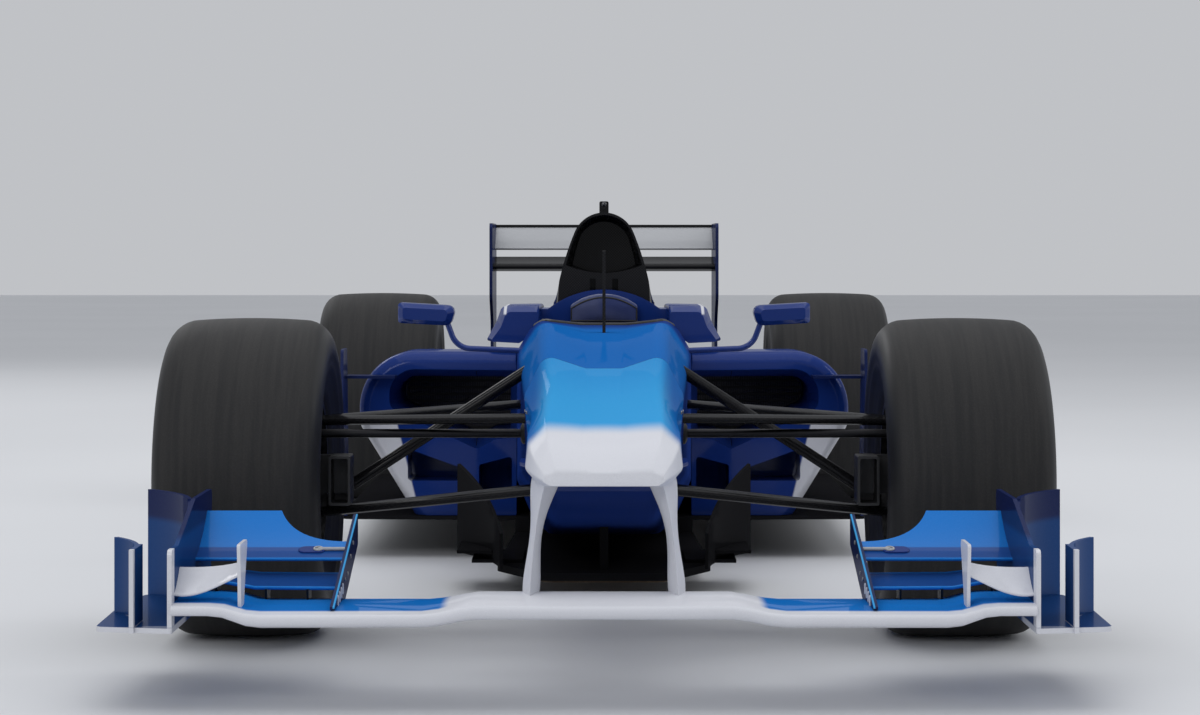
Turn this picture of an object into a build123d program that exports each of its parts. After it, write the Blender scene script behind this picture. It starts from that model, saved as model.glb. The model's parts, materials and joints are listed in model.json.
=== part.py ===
from build123d import *
import math
import os

# Open wheel racing car. Millimetres, +Z up, nose towards -Y, driver's left at +X, ground at z = 0,
# origin on the ground under the middle of the car's length.

# Overall layout
FRONT_OVERHANG = 1000  # front wing's leading edge to front axle
WHEELBASE = 3200
REAR_OVERHANG = 600  # rear axle to rain light
OVERALL_WIDTH = 1800
TYRE_DIAMETER = 660
FRONT_TYRE_WIDTH = 335
REAR_TYRE_WIDTH = 375

LENGTH = FRONT_OVERHANG + WHEELBASE + REAR_OVERHANG
FRONT_Y = -LENGTH / 2
REAR_Y = LENGTH / 2
FRONT_AXLE = FRONT_Y + FRONT_OVERHANG
REAR_AXLE = FRONT_AXLE + WHEELBASE
AXLE_Z = TYRE_DIAMETER / 2
FRONT_WHEEL_X = (OVERALL_WIDTH - FRONT_TYRE_WIDTH) / 2
REAR_WHEEL_X = (OVERALL_WIDTH - REAR_TYRE_WIDTH) / 2
SEAT_GAP = 0.3  # gap left between curved faces that seat on each other
RUN_GAP = 0.3  # gap round a pin or shaft that turns

# Floor levels
PLANK_Z = 40
PLANK_T = 10
STEP_Z = 100
FLOOR_T = 8
REFERENCE_Z = PLANK_Z + PLANK_T
FLOOR_TOP = STEP_Z + FLOOR_T
SPLITTER_T = 18
SPLITTER_TIP = FRONT_AXLE + 520
PLANK_WIDTH = 300
STEP_WIDTH = 460
FLOOR_HALF = 690
FLOOR_REAR_HALF = REAR_WHEEL_X - REAR_TYRE_WIDTH / 2 - 25  # clear of the rear tyres
DIFFUSER_LENGTH = 350
DIFFUSER_RISE = 175

# Survival cell
TUB_WALL = 30
TUB_HALF = 228
TUB_TOP = 600
TUB_FRONT = FRONT_AXLE - 300
TUB_STRAIGHT = FRONT_AXLE + 1500
TUB_REAR = REAR_AXLE - 1000
COCKPIT_FRONT = FRONT_AXLE + 950
COCKPIT_REAR = FRONT_AXLE + 1780

# Wheels
BEAD_R = 165
BEAD_INSET = 26  # tyre's widest part to the rim's flange
RIM_INNER_R = 152
SHOULDER_R = 58
SHOULDER_STEPS = 3
TYRE_FACETS = 60
SPOKES = 10
DISC_R = 130
DISC_T = 28
AXLE_R = 30
HUB_R = 62

# Steering and front suspension
KINGPIN_X = FRONT_WHEEL_X - 122.5
UPPER_BALL_Z = 446
LOWER_BALL_Z = 254
STEERING_ARM = 80
TRACK_ROD_Z = 425
TRACK_ROD_R = 9
EYE_H = 22
EYE_R = 14
EYE_BORE_R = 8.5  # wide, as the straight rod meets an arm that swings
BALL_R = 20
BALL_H = 26
PIN_R = 8
LEG_CHORD = 62
LEG_T = 20


# Shared shapes


def rounded_wire(corners, place):
    """Closed wire of lines and arcs through corners (u, v, radius), put in space by place(u, v)."""
    count = len(corners)
    arcs = []
    for i, (u, v, radius) in enumerate(corners):
        before = corners[i - 1]
        after = corners[(i + 1) % count]
        corner = Vector(u, v)
        back = (Vector(before[0], before[1]) - corner).normalized()
        ahead = (Vector(after[0], after[1]) - corner).normalized()
        half = math.acos(max(-1.0, min(1.0, back.dot(ahead)))) / 2
        reach = radius / math.tan(half)
        inset = radius / math.sin(half) - radius
        middle = corner + (back + ahead).normalized() * inset
        points = (corner + back * reach, middle, corner + ahead * reach)
        arcs.append([place(p.X, p.Y) for p in points])
    edges = []
    for i, (start, middle, end) in enumerate(arcs):
        edges.append(Edge.make_three_point_arc(start, middle, end))
        edges.append(Edge.make_line(end, arcs[(i + 1) % count][0]))
    return Wire(edges)


def sharp_face(points, place):
    """Flat face with straight sides through points (u, v), put in space by place(u, v)."""
    return Face(Wire.make_polygon([place(u, v) for u, v in points], close=True))


def at_y(y):
    return lambda u, v: (u, y, v)


def at_x(x):
    return lambda u, v: (x, u, v)


def at_z(z):
    return lambda u, v: (u, v, z)


def mirror_half(half):
    """Whole outline from its right half, listed from the top down."""
    return half + [(-u, v, r) for u, v, r in reversed(half)]


def both_sides(shape):
    """The shape and its mirror image across the car's centre plane, as separate solids."""
    solids = list(shape.solids()) + list(mirror(shape, about=Plane.YZ).solids())
    return Compound(solids)


def other_side(shape):
    return mirror(shape, about=Plane.YZ)


def bar(start, end, chord, thickness):
    """Straight member of oval section from start to end, its chord along the air flow."""
    start, end = Vector(*start), Vector(*end)
    axis = (end - start).normalized()
    flow = Vector(0, 1, 0)
    flow = (flow - axis * flow.dot(axis)).normalized()
    up = axis.cross(flow)

    def place(along, across):
        return tuple(start + flow * along + up * across)

    tip, round_off = chord / 2, 0.3 * thickness
    shoulder = tip - round_off
    # nose, upper face, tail and lower face, each an arc through three points
    arcs = [
        ((-shoulder, -round_off), (-tip, 0), (-shoulder, round_off)),
        ((-shoulder, round_off), (0, thickness / 2), (shoulder, round_off)),
        ((shoulder, round_off), (tip, 0), (shoulder, -round_off)),
        ((shoulder, -round_off), (0, -thickness / 2), (-shoulder, -round_off)),
    ]
    outline = Wire([Edge.make_three_point_arc(*(place(u, v) for u, v in arc)) for arc in arcs])
    return extrude(Face(outline), amount=(end - start).length, dir=tuple(axis))


def rod(start, end, radius):
    start, end = Vector(*start), Vector(*end)
    plane = Plane(origin=start, z_dir=(end - start).normalized())
    return extrude(plane * Circle(radius), amount=(end - start).length)


def block(x, y, z):
    """Box between (low, high) pairs."""
    size = [high - low for low, high in (x, y, z)]
    middle = [(high + low) / 2 for low, high in (x, y, z)]
    return Pos(*middle) * Box(*size)


def tube_x(x0, x1, y, z, radius):
    """Round bar along X between two stations."""
    return Pos((x0 + x1) / 2, y, z) * Rot(0, 90, 0) * Cylinder(radius, abs(x1 - x0))


def tube_z(x, y, z0, z1, radius):
    return Pos(x, y, (z0 + z1) / 2) * Cylinder(radius, abs(z1 - z0))


def aerofoil(x, y, z, chord, angle, camber, thickness):
    """Downforce wing section at station x: leading edge at (y, z), hollow side up, tail raised by angle."""
    nose = 0.3 * thickness
    tail = 1.5
    c, s = math.cos(math.radians(angle)), math.sin(math.radians(angle))

    def place(along, up):
        return (x, y + along * c - up * s, z + along * s + up * c)

    upper = place(nose, nose)
    lower = place(nose, -nose)
    tail_upper = place(chord, tail)
    tail_lower = place(chord, -tail)
    return Wire(
        [
            Edge.make_three_point_arc(lower, place(0, 0), upper),
            Edge.make_three_point_arc(upper, place(0.5 * chord, thickness / 2 - camber), tail_upper),
            Edge.make_line(tail_upper, tail_lower),
            Edge.make_three_point_arc(tail_lower, place(0.42 * chord, -thickness / 2 - camber), lower),
        ]
    )


def curved_vane(start, middle, end, thickness, z0, z1):
    """Upright plate whose plan follows the arc through three (x, y) points."""
    (ax, ay), (bx, by), (cx, cy) = start, middle, end
    d = 2 * (ax * (by - cy) + bx * (cy - ay) + cx * (ay - by))
    a2, b2, c2 = ax * ax + ay * ay, bx * bx + by * by, cx * cx + cy * cy
    centre = Vector((a2 * (by - cy) + b2 * (cy - ay) + c2 * (ay - by)) / d,
                    (a2 * (cx - bx) + b2 * (ax - cx) + c2 * (bx - ax)) / d)

    def moved(point, by_distance):
        spoke = Vector(*point) - centre
        p = centre + spoke * ((spoke.length + by_distance) / spoke.length)
        return (p.X, p.Y, z0)

    out = [moved(p, thickness / 2) for p in (start, middle, end)]
    inner = [moved(p, -thickness / 2) for p in (end, middle, start)]
    outline = Wire(
        [
            Edge.make_three_point_arc(*out),
            Edge.make_line(out[2], inner[0]),
            Edge.make_three_point_arc(*inner),
            Edge.make_line(inner[2], out[0]),
        ]
    )
    return extrude(Face(outline), amount=z1 - z0, dir=(0, 0, 1))


# Survival cell, nose and cockpit

# Body sections, as half widths and heights; the top has a ridge at each side of a shallow valley.
# columns: y, valley half, valley z, ridge half, ridge z, side half, side z,
# flank half, flank z, keel half, keel z, corner radius
NOSE_SECTIONS = [
    (FRONT_Y + 125, 30, 405, 84, 407, 104, 400, 110, 392, 96, 384, 3),
    (FRONT_Y + 160, 34, 423, 92, 427, 117, 416, 125, 398, 106, 380, 6),
    (FRONT_Y + 400, 36, 492, 108, 503, 143, 462, 139, 396, 106, 366, 18),
    (TUB_FRONT, 36, 568, 118, 595, 158, 515, 147, 385, 100, 325, 28),
]
TUB_SECTIONS = [
    NOSE_SECTIONS[-1],
    (FRONT_AXLE, 36, 606, 126, 636, 172, 545, 165, 345, 104, 272, 32),
    (FRONT_AXLE + 450, 40, 620, 140, 641, 192, 560, 188, 300, 108, 190, 34),
    (FRONT_AXLE + 1000, 60, 620, 162, 630, 209, 552, 209, 240, 140, FLOOR_TOP, 34),
    (TUB_STRAIGHT, 80, TUB_TOP - 4, 190, TUB_TOP, TUB_HALF, 535, TUB_HALF, 200, 190, FLOOR_TOP, 28),
]


def body_section(row, inset=0.0, y=None):
    """Ten-cornered section of the nose and tub, drawn in from its outside by inset."""
    station, valley, valley_z, ridge, ridge_z, side, side_z, flank, flank_z, keel, keel_z, radius = row
    r = max(radius - 0.4 * inset, 3)
    half = [
        (valley, valley_z - inset, r),
        (ridge - 0.6 * inset, ridge_z - inset, r),
        (side - inset, side_z - 0.4 * inset, r),
        (flank - inset, flank_z + 0.4 * inset, r),
        (keel - 0.6 * inset, keel_z + inset, r),
    ]
    return rounded_wire(mirror_half(half), at_y(station if y is None else y))


def tub_shape(rows, inset, rear_y):
    """Smooth forward part, then straight-lined parts round the driver, where other pieces seat."""
    last = rows[-1]
    front = Solid.make_loft([body_section(row, inset) for row in rows[:-1]])
    middle = Solid.make_loft([body_section(row, inset) for row in rows[-2:]], True)
    rear = Solid.make_loft([body_section(last, inset), body_section(last, inset, y=rear_y)], True)
    return front + middle + rear


def cockpit_space():
    """Room for the driver: footwell, seat well and the hole they climb in by."""
    inside = tub_shape(TUB_SECTIONS[1:], TUB_WALL, COCKPIT_REAR)
    hole = [
        (140, COCKPIT_FRONT, 70),
        (176, COCKPIT_REAR - 420, 90),
        (176, COCKPIT_REAR, 60),
    ]
    outline = hole + [(-x, y, r) for x, y, r in reversed(hole)]
    opening = extrude(Face(rounded_wire(outline, at_z(TUB_TOP - 150))), amount=300, dir=(0, 0, 1))
    return inside + opening


def monocoque(outside, space):
    reach = 2 * TUB_HALF
    rod_hole = tube_x(-reach, reach, FRONT_AXLE - STEERING_ARM, TRACK_ROD_Z, TRACK_ROD_R + RUN_GAP)
    return outside - space - rod_hole


PYLON_CHORD = 185
# columns: x, front end from the wing's leading edge, z above the wing's top, chord, thickness
PYLON_SECTIONS = [
    (131, 85, -16, PYLON_CHORD, 26),
    (127, 112, 55, PYLON_CHORD, 24),
    (119, 143, 126, PYLON_CHORD + 10, 27),
    (109, 158, 176, PYLON_CHORD + 40, 48),
    (101, 165, 204, PYLON_CHORD + 50, 54),
]


def pylon():
    """Blade that hangs the front wing from the nose, lens-shaped in plan."""
    sections = []
    for x, ahead, up, chord, thick in PYLON_SECTIONS:
        nose_y = FRONT_Y + ahead
        mid_y = nose_y + chord * 0.4
        tail_y = nose_y + chord
        z = WING_SEAT_Z + up
        sections.append(
            Wire(
                [
                    Edge.make_three_point_arc((x, nose_y, z), (x + thick / 2, mid_y, z), (x, tail_y, z)),
                    Edge.make_three_point_arc((x, tail_y, z), (x - thick / 2, mid_y, z), (x, nose_y, z)),
                ]
            )
        )
    return Solid.make_loft(sections)


def nose_fin():
    """Small flat fin at the foot of the nose's side."""
    outline = [
        (118, FRONT_Y + 400),
        (162, FRONT_Y + 540),
        (162, FRONT_Y + 640),
        (124, FRONT_Y + 640),
    ]
    return extrude(sharp_face(outline, at_z(388)), amount=7, dir=(0, 0, 1))


def nose_cone():
    nose = Solid.make_loft([body_section(row) for row in NOSE_SECTIONS])
    side = pylon() + nose_fin()
    return nose + side + other_side(side)


# Front wing

WING_SEAT_Z = 194
WING_TIP = 750
# columns: x, leading edge z, chord, angle, camber, thickness
MAIN_PLANE = [
    (224, 174, 262, 0, 0, 40),
    (250, 171, 263, 0, 1, 39.5),
    (290, 162.5, 267, 1, 4, 37.5),
    (318, 160, 269, 1, 5, 36.5),
    (600, 160, 272, 1, 6, 36),
    (624, 162.5, 271, 1, 6, 35),
    (662, 174.5, 265, 1, 4, 29.5),
    (688, 177, 262, 1, 4, 28),
    (WING_TIP, 177, 262, 1, 4, 28),
]
# columns: x, leading edge from the front end, leading edge z, chord, angle, camber, thickness
LOWER_FLAP = [
    (478, 213, 191, 111, 8, 5, 11),
    (630, 213, 192, 111, 8, 5, 11),
    (690, 213, 203, 111, 6, 5, 11),
    (WING_TIP, 213, 204, 111, 6, 5, 11),
]
UPPER_FLAP = [
    (478, 300, 233, 172, 26, 12, 10),
    (WING_TIP, 300, 233, 172, 26, 12, 10),
]


def wing_span(rows, ruled=True):
    return Solid.make_loft([aerofoil(*row) for row in rows], ruled)


def main_plane():
    half = [(x, FRONT_Y, *rest) for x, *rest in MAIN_PLANE]
    other = [(-row[0], *row[1:]) for row in reversed(half)]
    return wing_span(other + half)


def flap(table):
    return wing_span([(x, FRONT_Y + y, z, *rest) for x, y, z, *rest in table])


def upper_flap():
    """Top element, its tail swept away towards the inner end."""
    z = 150
    corner, hollow, root = (612, FRONT_Y + 462), (556, FRONT_Y + 392), (470, FRONT_Y + 372)
    outline = Wire(
        [
            Edge.make_three_point_arc((*corner, z), (*hollow, z), (*root, z)),
            Edge.make_line((*root, z), (root[0], corner[1], z)),
            Edge.make_line((root[0], corner[1], z), (*corner, z)),
        ]
    )
    sweep_off = extrude(Face(outline), amount=300, dir=(0, 0, 1))
    return flap(UPPER_FLAP) - sweep_off


PLATE_T = 8
FOOT_Z = 137
FOOT_T = 9
FOOT_HALF = 893
PLATE_TOP_Z = 346
FENCE_TOP_Z = 282
PLATE_FRONT = FRONT_Y + 14
RISE_FRONT = FRONT_Y + 95  # where the plate's top starts to rise
RISE_REAR = FRONT_Y + 300
PLATE_REAR = FRONT_Y + 500
FENCE_X = FOOT_HALF - 72


def endplate():
    """Endplate of the front wing: foot, flap plate, swept panel, outer fence, all one moulding."""
    foot_outline = [
        (WING_TIP, PLATE_FRONT - 2, 4),
        (FOOT_HALF - 6, PLATE_FRONT + 26, 20),
        (FOOT_HALF, RISE_REAR, 40),
        (FOOT_HALF - 20, PLATE_REAR, 20),
        (WING_TIP, PLATE_REAR, 4),
    ]
    foot = extrude(Face(rounded_wire(foot_outline, at_z(FOOT_Z))), amount=FOOT_T, dir=(0, 0, 1))
    plate_side = [
        (PLATE_FRONT, FOOT_Z, 3),
        (PLATE_FRONT, FENCE_TOP_Z, 10),
        (RISE_FRONT, FENCE_TOP_Z, 30),
        (RISE_REAR, PLATE_TOP_Z, 30),
        (PLATE_REAR + 20, PLATE_TOP_Z, 14),
        (PLATE_REAR, FOOT_Z, 3),
    ]
    plate = extrude(Face(rounded_wire(plate_side, at_x(WING_TIP))), amount=PLATE_T, dir=(1, 0, 0))
    panel = curved_vane(
        (WING_TIP + PLATE_T / 2, RISE_REAR - 60),
        (WING_TIP + 30, RISE_REAR + 70),
        (FOOT_HALF - 26, PLATE_REAR + 5),
        PLATE_T, FOOT_Z, PLATE_TOP_Z,
    )
    rise = sharp_face(
        [
            (RISE_FRONT, FENCE_TOP_Z - 3),
            (RISE_REAR, PLATE_TOP_Z - 3),
            (RISE_REAR, PLATE_TOP_Z + 5),
            (RISE_FRONT, PLATE_TOP_Z + 5),
        ],
        at_x(WING_TIP - PLATE_T),
    )
    panel -= extrude(rise, amount=FOOT_HALF - WING_TIP, dir=(1, 0, 0))
    fence = curved_vane(
        (FENCE_X, FRONT_Y + 30),
        (FENCE_X + 10, FRONT_Y + 130),
        (FOOT_HALF - 8, FRONT_Y + 240),
        PLATE_T, FOOT_Z, FENCE_TOP_Z,
    )
    fence_nose = block(
        (FENCE_X - PLATE_T / 2, FENCE_X + PLATE_T / 2),
        (PLATE_FRONT + 4, PLATE_FRONT + 104),
        (FOOT_Z, FENCE_TOP_Z),
    )
    return foot + plate + panel + fence + fence_nose


STRAKE_X = 470


def flap_strake():
    """Upright fence that closes the flaps' inner ends."""
    side = [
        (FRONT_Y + 20, 176, 3),
        (FRONT_Y + 512, 300, 6),
        (FRONT_Y + 512, 240, 6),
        (FRONT_Y + 250, 168, 10),
    ]
    return extrude(Face(rounded_wire(side, at_x(STRAKE_X))), amount=PLATE_T, dir=(1, 0, 0))


def cascade():
    """Small winglet beside the endplate, with a fin at its inner end."""
    wing = wing_span(
        [
            (638, FRONT_Y + 52, 233, 46, 25, 3, 7),
            (680, FRONT_Y + 48, 213, 62, 30, 5, 8),
            (715, FRONT_Y + 45, 201, 74, 33, 6, 9),
            (WING_TIP, FRONT_Y + 45, 200, 76, 33, 6, 9),
        ],
        False,
    )
    fin_side = [
        (FRONT_Y + 52, 165, 3),
        (FRONT_Y + 46, 230, 20),
        (FRONT_Y + 36, 289, 6),
        (FRONT_Y + 140, 289, 8),
        (FRONT_Y + 108, 226, 16),
        (FRONT_Y + 82, 165, 3),
    ]
    fin = extrude(Face(rounded_wire(fin_side, at_x(634))), amount=6, dir=(1, 0, 0))
    return wing + fin


# Floor, diffuser and air guides


def floor():
    front = TUB_STRAIGHT - 60
    rear = REAR_AXLE
    tyre_front = REAR_AXLE - TYRE_DIAMETER / 2 - 40
    half = [
        (330, front, 40),
        (FLOOR_HALF, front + 20, 40),
        (FLOOR_HALF, tyre_front, 40),
        (FLOOR_REAR_HALF, tyre_front + 60, 40),
        (FLOOR_REAR_HALF, rear, 5),
    ]
    outline = [(-x, y, r) for x, y, r in half] + [(x, y, r) for x, y, r in reversed(half)]
    plate = extrude(Face(rounded_wire(outline, at_z(STEP_Z))), amount=FLOOR_T, dir=(0, 0, 1))
    step = block((-STEP_WIDTH / 2, STEP_WIDTH / 2), (front, rear), (REFERENCE_Z, STEP_Z))
    bib_outline = [
        (-STEP_WIDTH / 2, front + 5, 1),
        (-STEP_WIDTH / 2 - 20, SPLITTER_TIP + 200, 60),
        (-150, SPLITTER_TIP, 60),
        (150, SPLITTER_TIP, 60),
        (STEP_WIDTH / 2 + 20, SPLITTER_TIP + 200, 60),
        (STEP_WIDTH / 2, front + 5, 1),
    ]
    bib = extrude(Face(rounded_wire(bib_outline, at_z(REFERENCE_Z))), amount=SPLITTER_T, dir=(0, 0, 1))
    return plate + step + bib


def skid_plank():
    outline = [
        (-PLANK_WIDTH / 2, REAR_AXLE, 10),
        (-PLANK_WIDTH / 2, SPLITTER_TIP + 60, 40),
        (PLANK_WIDTH / 2, SPLITTER_TIP + 60, 40),
        (PLANK_WIDTH / 2, REAR_AXLE, 10),
    ]
    return extrude(Face(rounded_wire(outline, at_z(PLANK_Z))), amount=PLANK_T, dir=(0, 0, 1))


def splitter_stay():
    """Thin upright keel from the splitter up to the underside of the tub."""
    y0, y1 = SPLITTER_TIP + 70, SPLITTER_TIP + 150
    post = block((-10, 10), (y0, y1), (REFERENCE_Z + SPLITTER_T, 400))
    return post


def diffuser():
    """Rising tunnel roof behind the axle with upright strakes and side walls."""
    y0, y1 = REAR_AXLE, REAR_AXLE + DIFFUSER_LENGTH
    roof_side = [
        (y0, STEP_Z),
        (y0, FLOOR_TOP),
        (y1, FLOOR_TOP + DIFFUSER_RISE),
        (y1, STEP_Z + DIFFUSER_RISE),
    ]
    roof = extrude(sharp_face(roof_side, at_x(-FLOOR_REAR_HALF)), amount=2 * FLOOR_REAR_HALF, dir=(1, 0, 0))
    strake_side = [
        (y0, STEP_Z + 1),
        (y1, STEP_Z + DIFFUSER_RISE + 1),
        (y1, STEP_Z),
        (y0 + 60, STEP_Z - 30),
        (y0, STEP_Z - 30),
    ]
    body = roof
    for x in (-FLOOR_REAR_HALF, -330, -170, 164, 324, FLOOR_REAR_HALF - 6):
        body += extrude(sharp_face(strake_side, at_x(x)), amount=6, dir=(1, 0, 0))
    return body


def bargeboard():
    """Turning vane beside the tub with a foot on the splitter and a second plate above it."""
    base_z = REFERENCE_Z + SPLITTER_T
    front, rear = FRONT_AXLE + 600, FRONT_AXLE + 960
    vane = curved_vane((236, front), (270, front + 180), (352, rear), 8, base_z, 290)
    rake = [
        (front - 100, 130),
        (front + 100, 170),
        (rear + 40, 300),
        (front - 100, 300),
    ]
    vane -= extrude(sharp_face(rake, at_x(200)), amount=300, dir=(1, 0, 0))
    foot = block((190, 310), (front + 130, rear - 5), (base_z, base_z + 8))
    shelf = block((262, 345), (front + 130, rear - 5), (base_z + 22, base_z + 29))
    return vane + foot + shelf


# Sidepods

POD_FRONT = TUB_STRAIGHT - 20
POD_REAR = REAR_AXLE - 550
POD_IN = TUB_HALF + SEAT_GAP
POD_HALF = 640
LIP = 40
# columns: y, root z, top z, shoulder half, shoulder radius, waist z, waist radius, foot half
POD_FACE = (533, 537, POD_HALF, 148, 345, 55, 494)
POD_SECTIONS = [
    (POD_FRONT + LIP, *POD_FACE),
    (POD_FRONT + 250, 532, 534, POD_HALF, 148, 335, 55, 520),
    (POD_FRONT + 480, 520, 515, POD_HALF - 10, 130, 310, 50, 545),
    (POD_FRONT + 850, 470, 430, 470, 90, 260, 30, 440),
    (POD_REAR, 400, 300, 262, 14, 220, 10, 258),
]
# columns: distance behind the pod's front, inset of the outline
POD_LIP = [(0, 30), (11, 10), (LIP, 0)]


def pod_section(row, inset=0.0):
    station, root_z, top_z, shoulder, radius, waist_z, waist_radius, foot = row
    corners = [
        (POD_IN, root_z - inset, 4),
        (shoulder - inset, top_z - inset, max(radius - inset, 4)),
        (shoulder - inset, waist_z, waist_radius),
        (foot - inset, FLOOR_TOP + SEAT_GAP, 6),
        (POD_IN, FLOOR_TOP + SEAT_GAP, 4),
    ]
    return rounded_wire(corners, at_y(station))


# Intake outlines, from the top beside the tub outwards. columns: x, z, corner radius
MOUTH = [
    (POD_IN - 15, 486, 5),
    (560, 490, 66),
    (560, 388, 30),
    (330, 280, 16),
    (285, 306, 10),
    (POD_IN - 15, 312, 5),
]
THROAT = [
    (POD_IN + 18, 466, 5),
    (538, 468, 46),
    (538, 394, 22),
    (334, 302, 12),
    (292, 322, 8),
    (POD_IN + 18, 328, 5),
]
# Hollows under the intake's lower lip
OUTER_RECESS = [
    (356, 226, 8),
    (512, 282, 14),
    (512, 198, 10),
    (356, 198, 8),
]
INNER_RECESS = [
    (POD_IN + 12, 262, 8),
    (326, 240, 8),
    (326, 160, 8),
    (POD_IN + 12, 160, 8),
]
RECESS_DEPTH = 200
THROAT_END = POD_FRONT + 330


def sidepod():
    """Cooling pod with a rolled lip round its intake and hollows under the lower lip."""
    lip = Solid.make_loft([pod_section((POD_FRONT + back, *POD_FACE), inset) for back, inset in POD_LIP])
    pod = lip + Solid.make_loft([pod_section(row) for row in POD_SECTIONS])
    duct = Solid.make_loft(
        [
            rounded_wire(MOUTH, at_y(POD_FRONT - 30)),
            rounded_wire(MOUTH, at_y(POD_FRONT + 20)),
            rounded_wire(THROAT, at_y(POD_FRONT + 90)),
            rounded_wire(THROAT, at_y(THROAT_END)),
        ],
        True,
    )
    pod -= duct
    for outline in (OUTER_RECESS, INNER_RECESS):
        face = Face(rounded_wire(outline, at_y(POD_FRONT - 30)))
        pod -= extrude(face, amount=RECESS_DEPTH, dir=(0, 1, 0))
    return pod


CORE_T = 30
CORE_GAP = 4
# way in from each corner of the throat to the core's outline
CORE_INWARD = [(1, -1), (-1, -1), (-1, 0), (0, 1), (0, 1), (1, 1)]


def radiator():
    """Core that stands across the end of the intake duct, a little clear of its walls."""
    outline = [
        (x + CORE_GAP * in_x, z + CORE_GAP * in_z, radius)
        for (x, z, radius), (in_x, in_z) in zip(THROAT, CORE_INWARD)
    ]
    return extrude(Face(rounded_wire(outline, at_y(THROAT_END - CORE_T))), amount=CORE_T, dir=(0, 1, 0))


def pod_vane():
    """Upright guide ahead of the pod with its bridge to the pod's shoulder."""
    x = 668
    side = [
        (POD_FRONT - 150, 320, 12),
        (POD_FRONT - 120, 545, 12),
        (POD_FRONT - 20, 545, 12),
        (POD_FRONT + 40, FLOOR_TOP + SEAT_GAP, 4),
        (POD_FRONT - 20, FLOOR_TOP + SEAT_GAP, 4),
    ]
    plate = extrude(Face(rounded_wire(side, at_x(x))), amount=8, dir=(1, 0, 0))
    bridge = block((540, x + 2), (POD_FRONT - 70, POD_FRONT + 8), (468, 475))
    return plate + bridge


# Engine cover, roll hoop and power unit

COVER_WALL = 18
ENGINE_HALF = 160
ENGINE_TOP = 420
GEARBOX_FRONT = TUB_REAR + 560
HOOP_FRONT = TUB_REAR - 240
# Arch sections. columns: y, top z, crown half, crown z, side half, side z, hip half, hip z
COVER_SECTIONS = [
    (TUB_REAR + SEAT_GAP, 896, 80, 843, 128, 712, TUB_HALF, 535),
    (TUB_REAR + 250, 862, 66, 818, 110, 688, TUB_HALF, 505),
    (POD_REAR, 775, 50, 740, 90, 618, TUB_HALF, 440),
]
COVER_TAIL = (REAR_AXLE - 200, 575, 36, 556, 62, 482, 150, 390)
# columns: y, top z, crown half, crown z, side half, side z, foot half
HOOP_SECTIONS = [
    (HOOP_FRONT, 904, 82, 849, 125, 712, 132),
    (TUB_REAR, 896, 80, 843, 128, 712, 150),
]
HOOP_BASE_Z = TUB_TOP - 20
# Air intake in the hoop's face. columns: top z, crown half, crown z, side half, side z
AIRBOX_MOUTH = (904, 82, 849, 113, 758)
AIRBOX_SAG = 22
# columns: y, inset from the hoop's outline
AIRBOX_STATIONS = [(HOOP_FRONT - 20, 7), (HOOP_FRONT + 10, 7), (HOOP_FRONT + 170, 24)]
SLOT_X = 31
SLOT_HALF = 8


def arch_edges(y, top_z, crown, crown_z, side, side_z):
    """Round crown and an arc down each side that leaves it smoothly, from +X round to -X."""
    drop = top_z - crown_z
    lean = math.asin(2 * drop * crown / (crown * crown + drop * drop))
    tip, foot = (crown, y, crown_z), (side, y, side_z)
    right = Edge.make_tangent_arc(tip, (math.cos(lean), 0, -math.sin(lean)), foot)
    middle = right.position_at(0.5)
    return [
        Edge.make_three_point_arc(foot, tuple(middle), tip),
        Edge.make_three_point_arc(tip, (0, y, top_z), (-crown, y, crown_z)),
        Edge.make_three_point_arc((-crown, y, crown_z), (-middle.X, y, middle.Z), (-side, y, side_z)),
    ]


def cover_section(row, inset=0.0, y=None):
    """Engine cover outline: an arch on flared hips that stand on the floor."""
    station, top_z, crown, crown_z, side, side_z, hip, hip_z = row
    station = station if y is None else y
    base_z = FLOOR_TOP + (SEAT_GAP if not inset else -10)
    side, hip, hip_z = side - inset, hip - inset, hip_z - inset
    side_z -= 0.3 * inset
    arch = arch_edges(station, top_z - inset, crown - 0.5 * inset, crown_z - 0.8 * inset, side, side_z)
    flare = (0.6 * side + 0.4 * hip, station, 0.36 * side_z + 0.64 * hip_z)
    foot, shoulder, top = (hip, station, base_z), (hip, station, hip_z), (side, station, side_z)

    def across(point):
        return (-point[0], point[1], point[2])

    edges = [Edge.make_line(foot, shoulder), Edge.make_three_point_arc(shoulder, flare, top)]
    edges += arch
    edges += [
        Edge.make_three_point_arc(across(top), across(flare), across(shoulder)),
        Edge.make_line(across(shoulder), across(foot)),
        Edge.make_line(across(foot), foot),
    ]
    return Wire(edges)


def cover_solid(inset=0.0):
    straight = Solid.make_loft([cover_section(row, inset) for row in COVER_SECTIONS])
    tail = Solid.make_loft([cover_section(row, inset) for row in (COVER_SECTIONS[-1], COVER_TAIL)], True)
    return straight + tail


def engine_cover():
    """Thin shell over the engine, open at both ends and below."""
    inner = cover_solid(COVER_WALL)
    for row, overrun in ((COVER_SECTIONS[0], -50), (COVER_TAIL, 50)):
        ends = [cover_section(row, COVER_WALL), cover_section(row, COVER_WALL, row[0] + overrun)]
        inner += Solid.make_loft(ends, True)
    return cover_solid() - inner


def hoop_section(row):
    y, top_z, crown, crown_z, side, side_z, base = row
    edges = [Edge.make_line((base, y, HOOP_BASE_Z), (side, y, side_z))]
    edges += arch_edges(y, top_z, crown, crown_z, side, side_z)
    edges += [
        Edge.make_line((-side, y, side_z), (-base, y, HOOP_BASE_Z)),
        Edge.make_line((-base, y, HOOP_BASE_Z), (base, y, HOOP_BASE_Z)),
    ]
    return Wire(edges)


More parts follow.
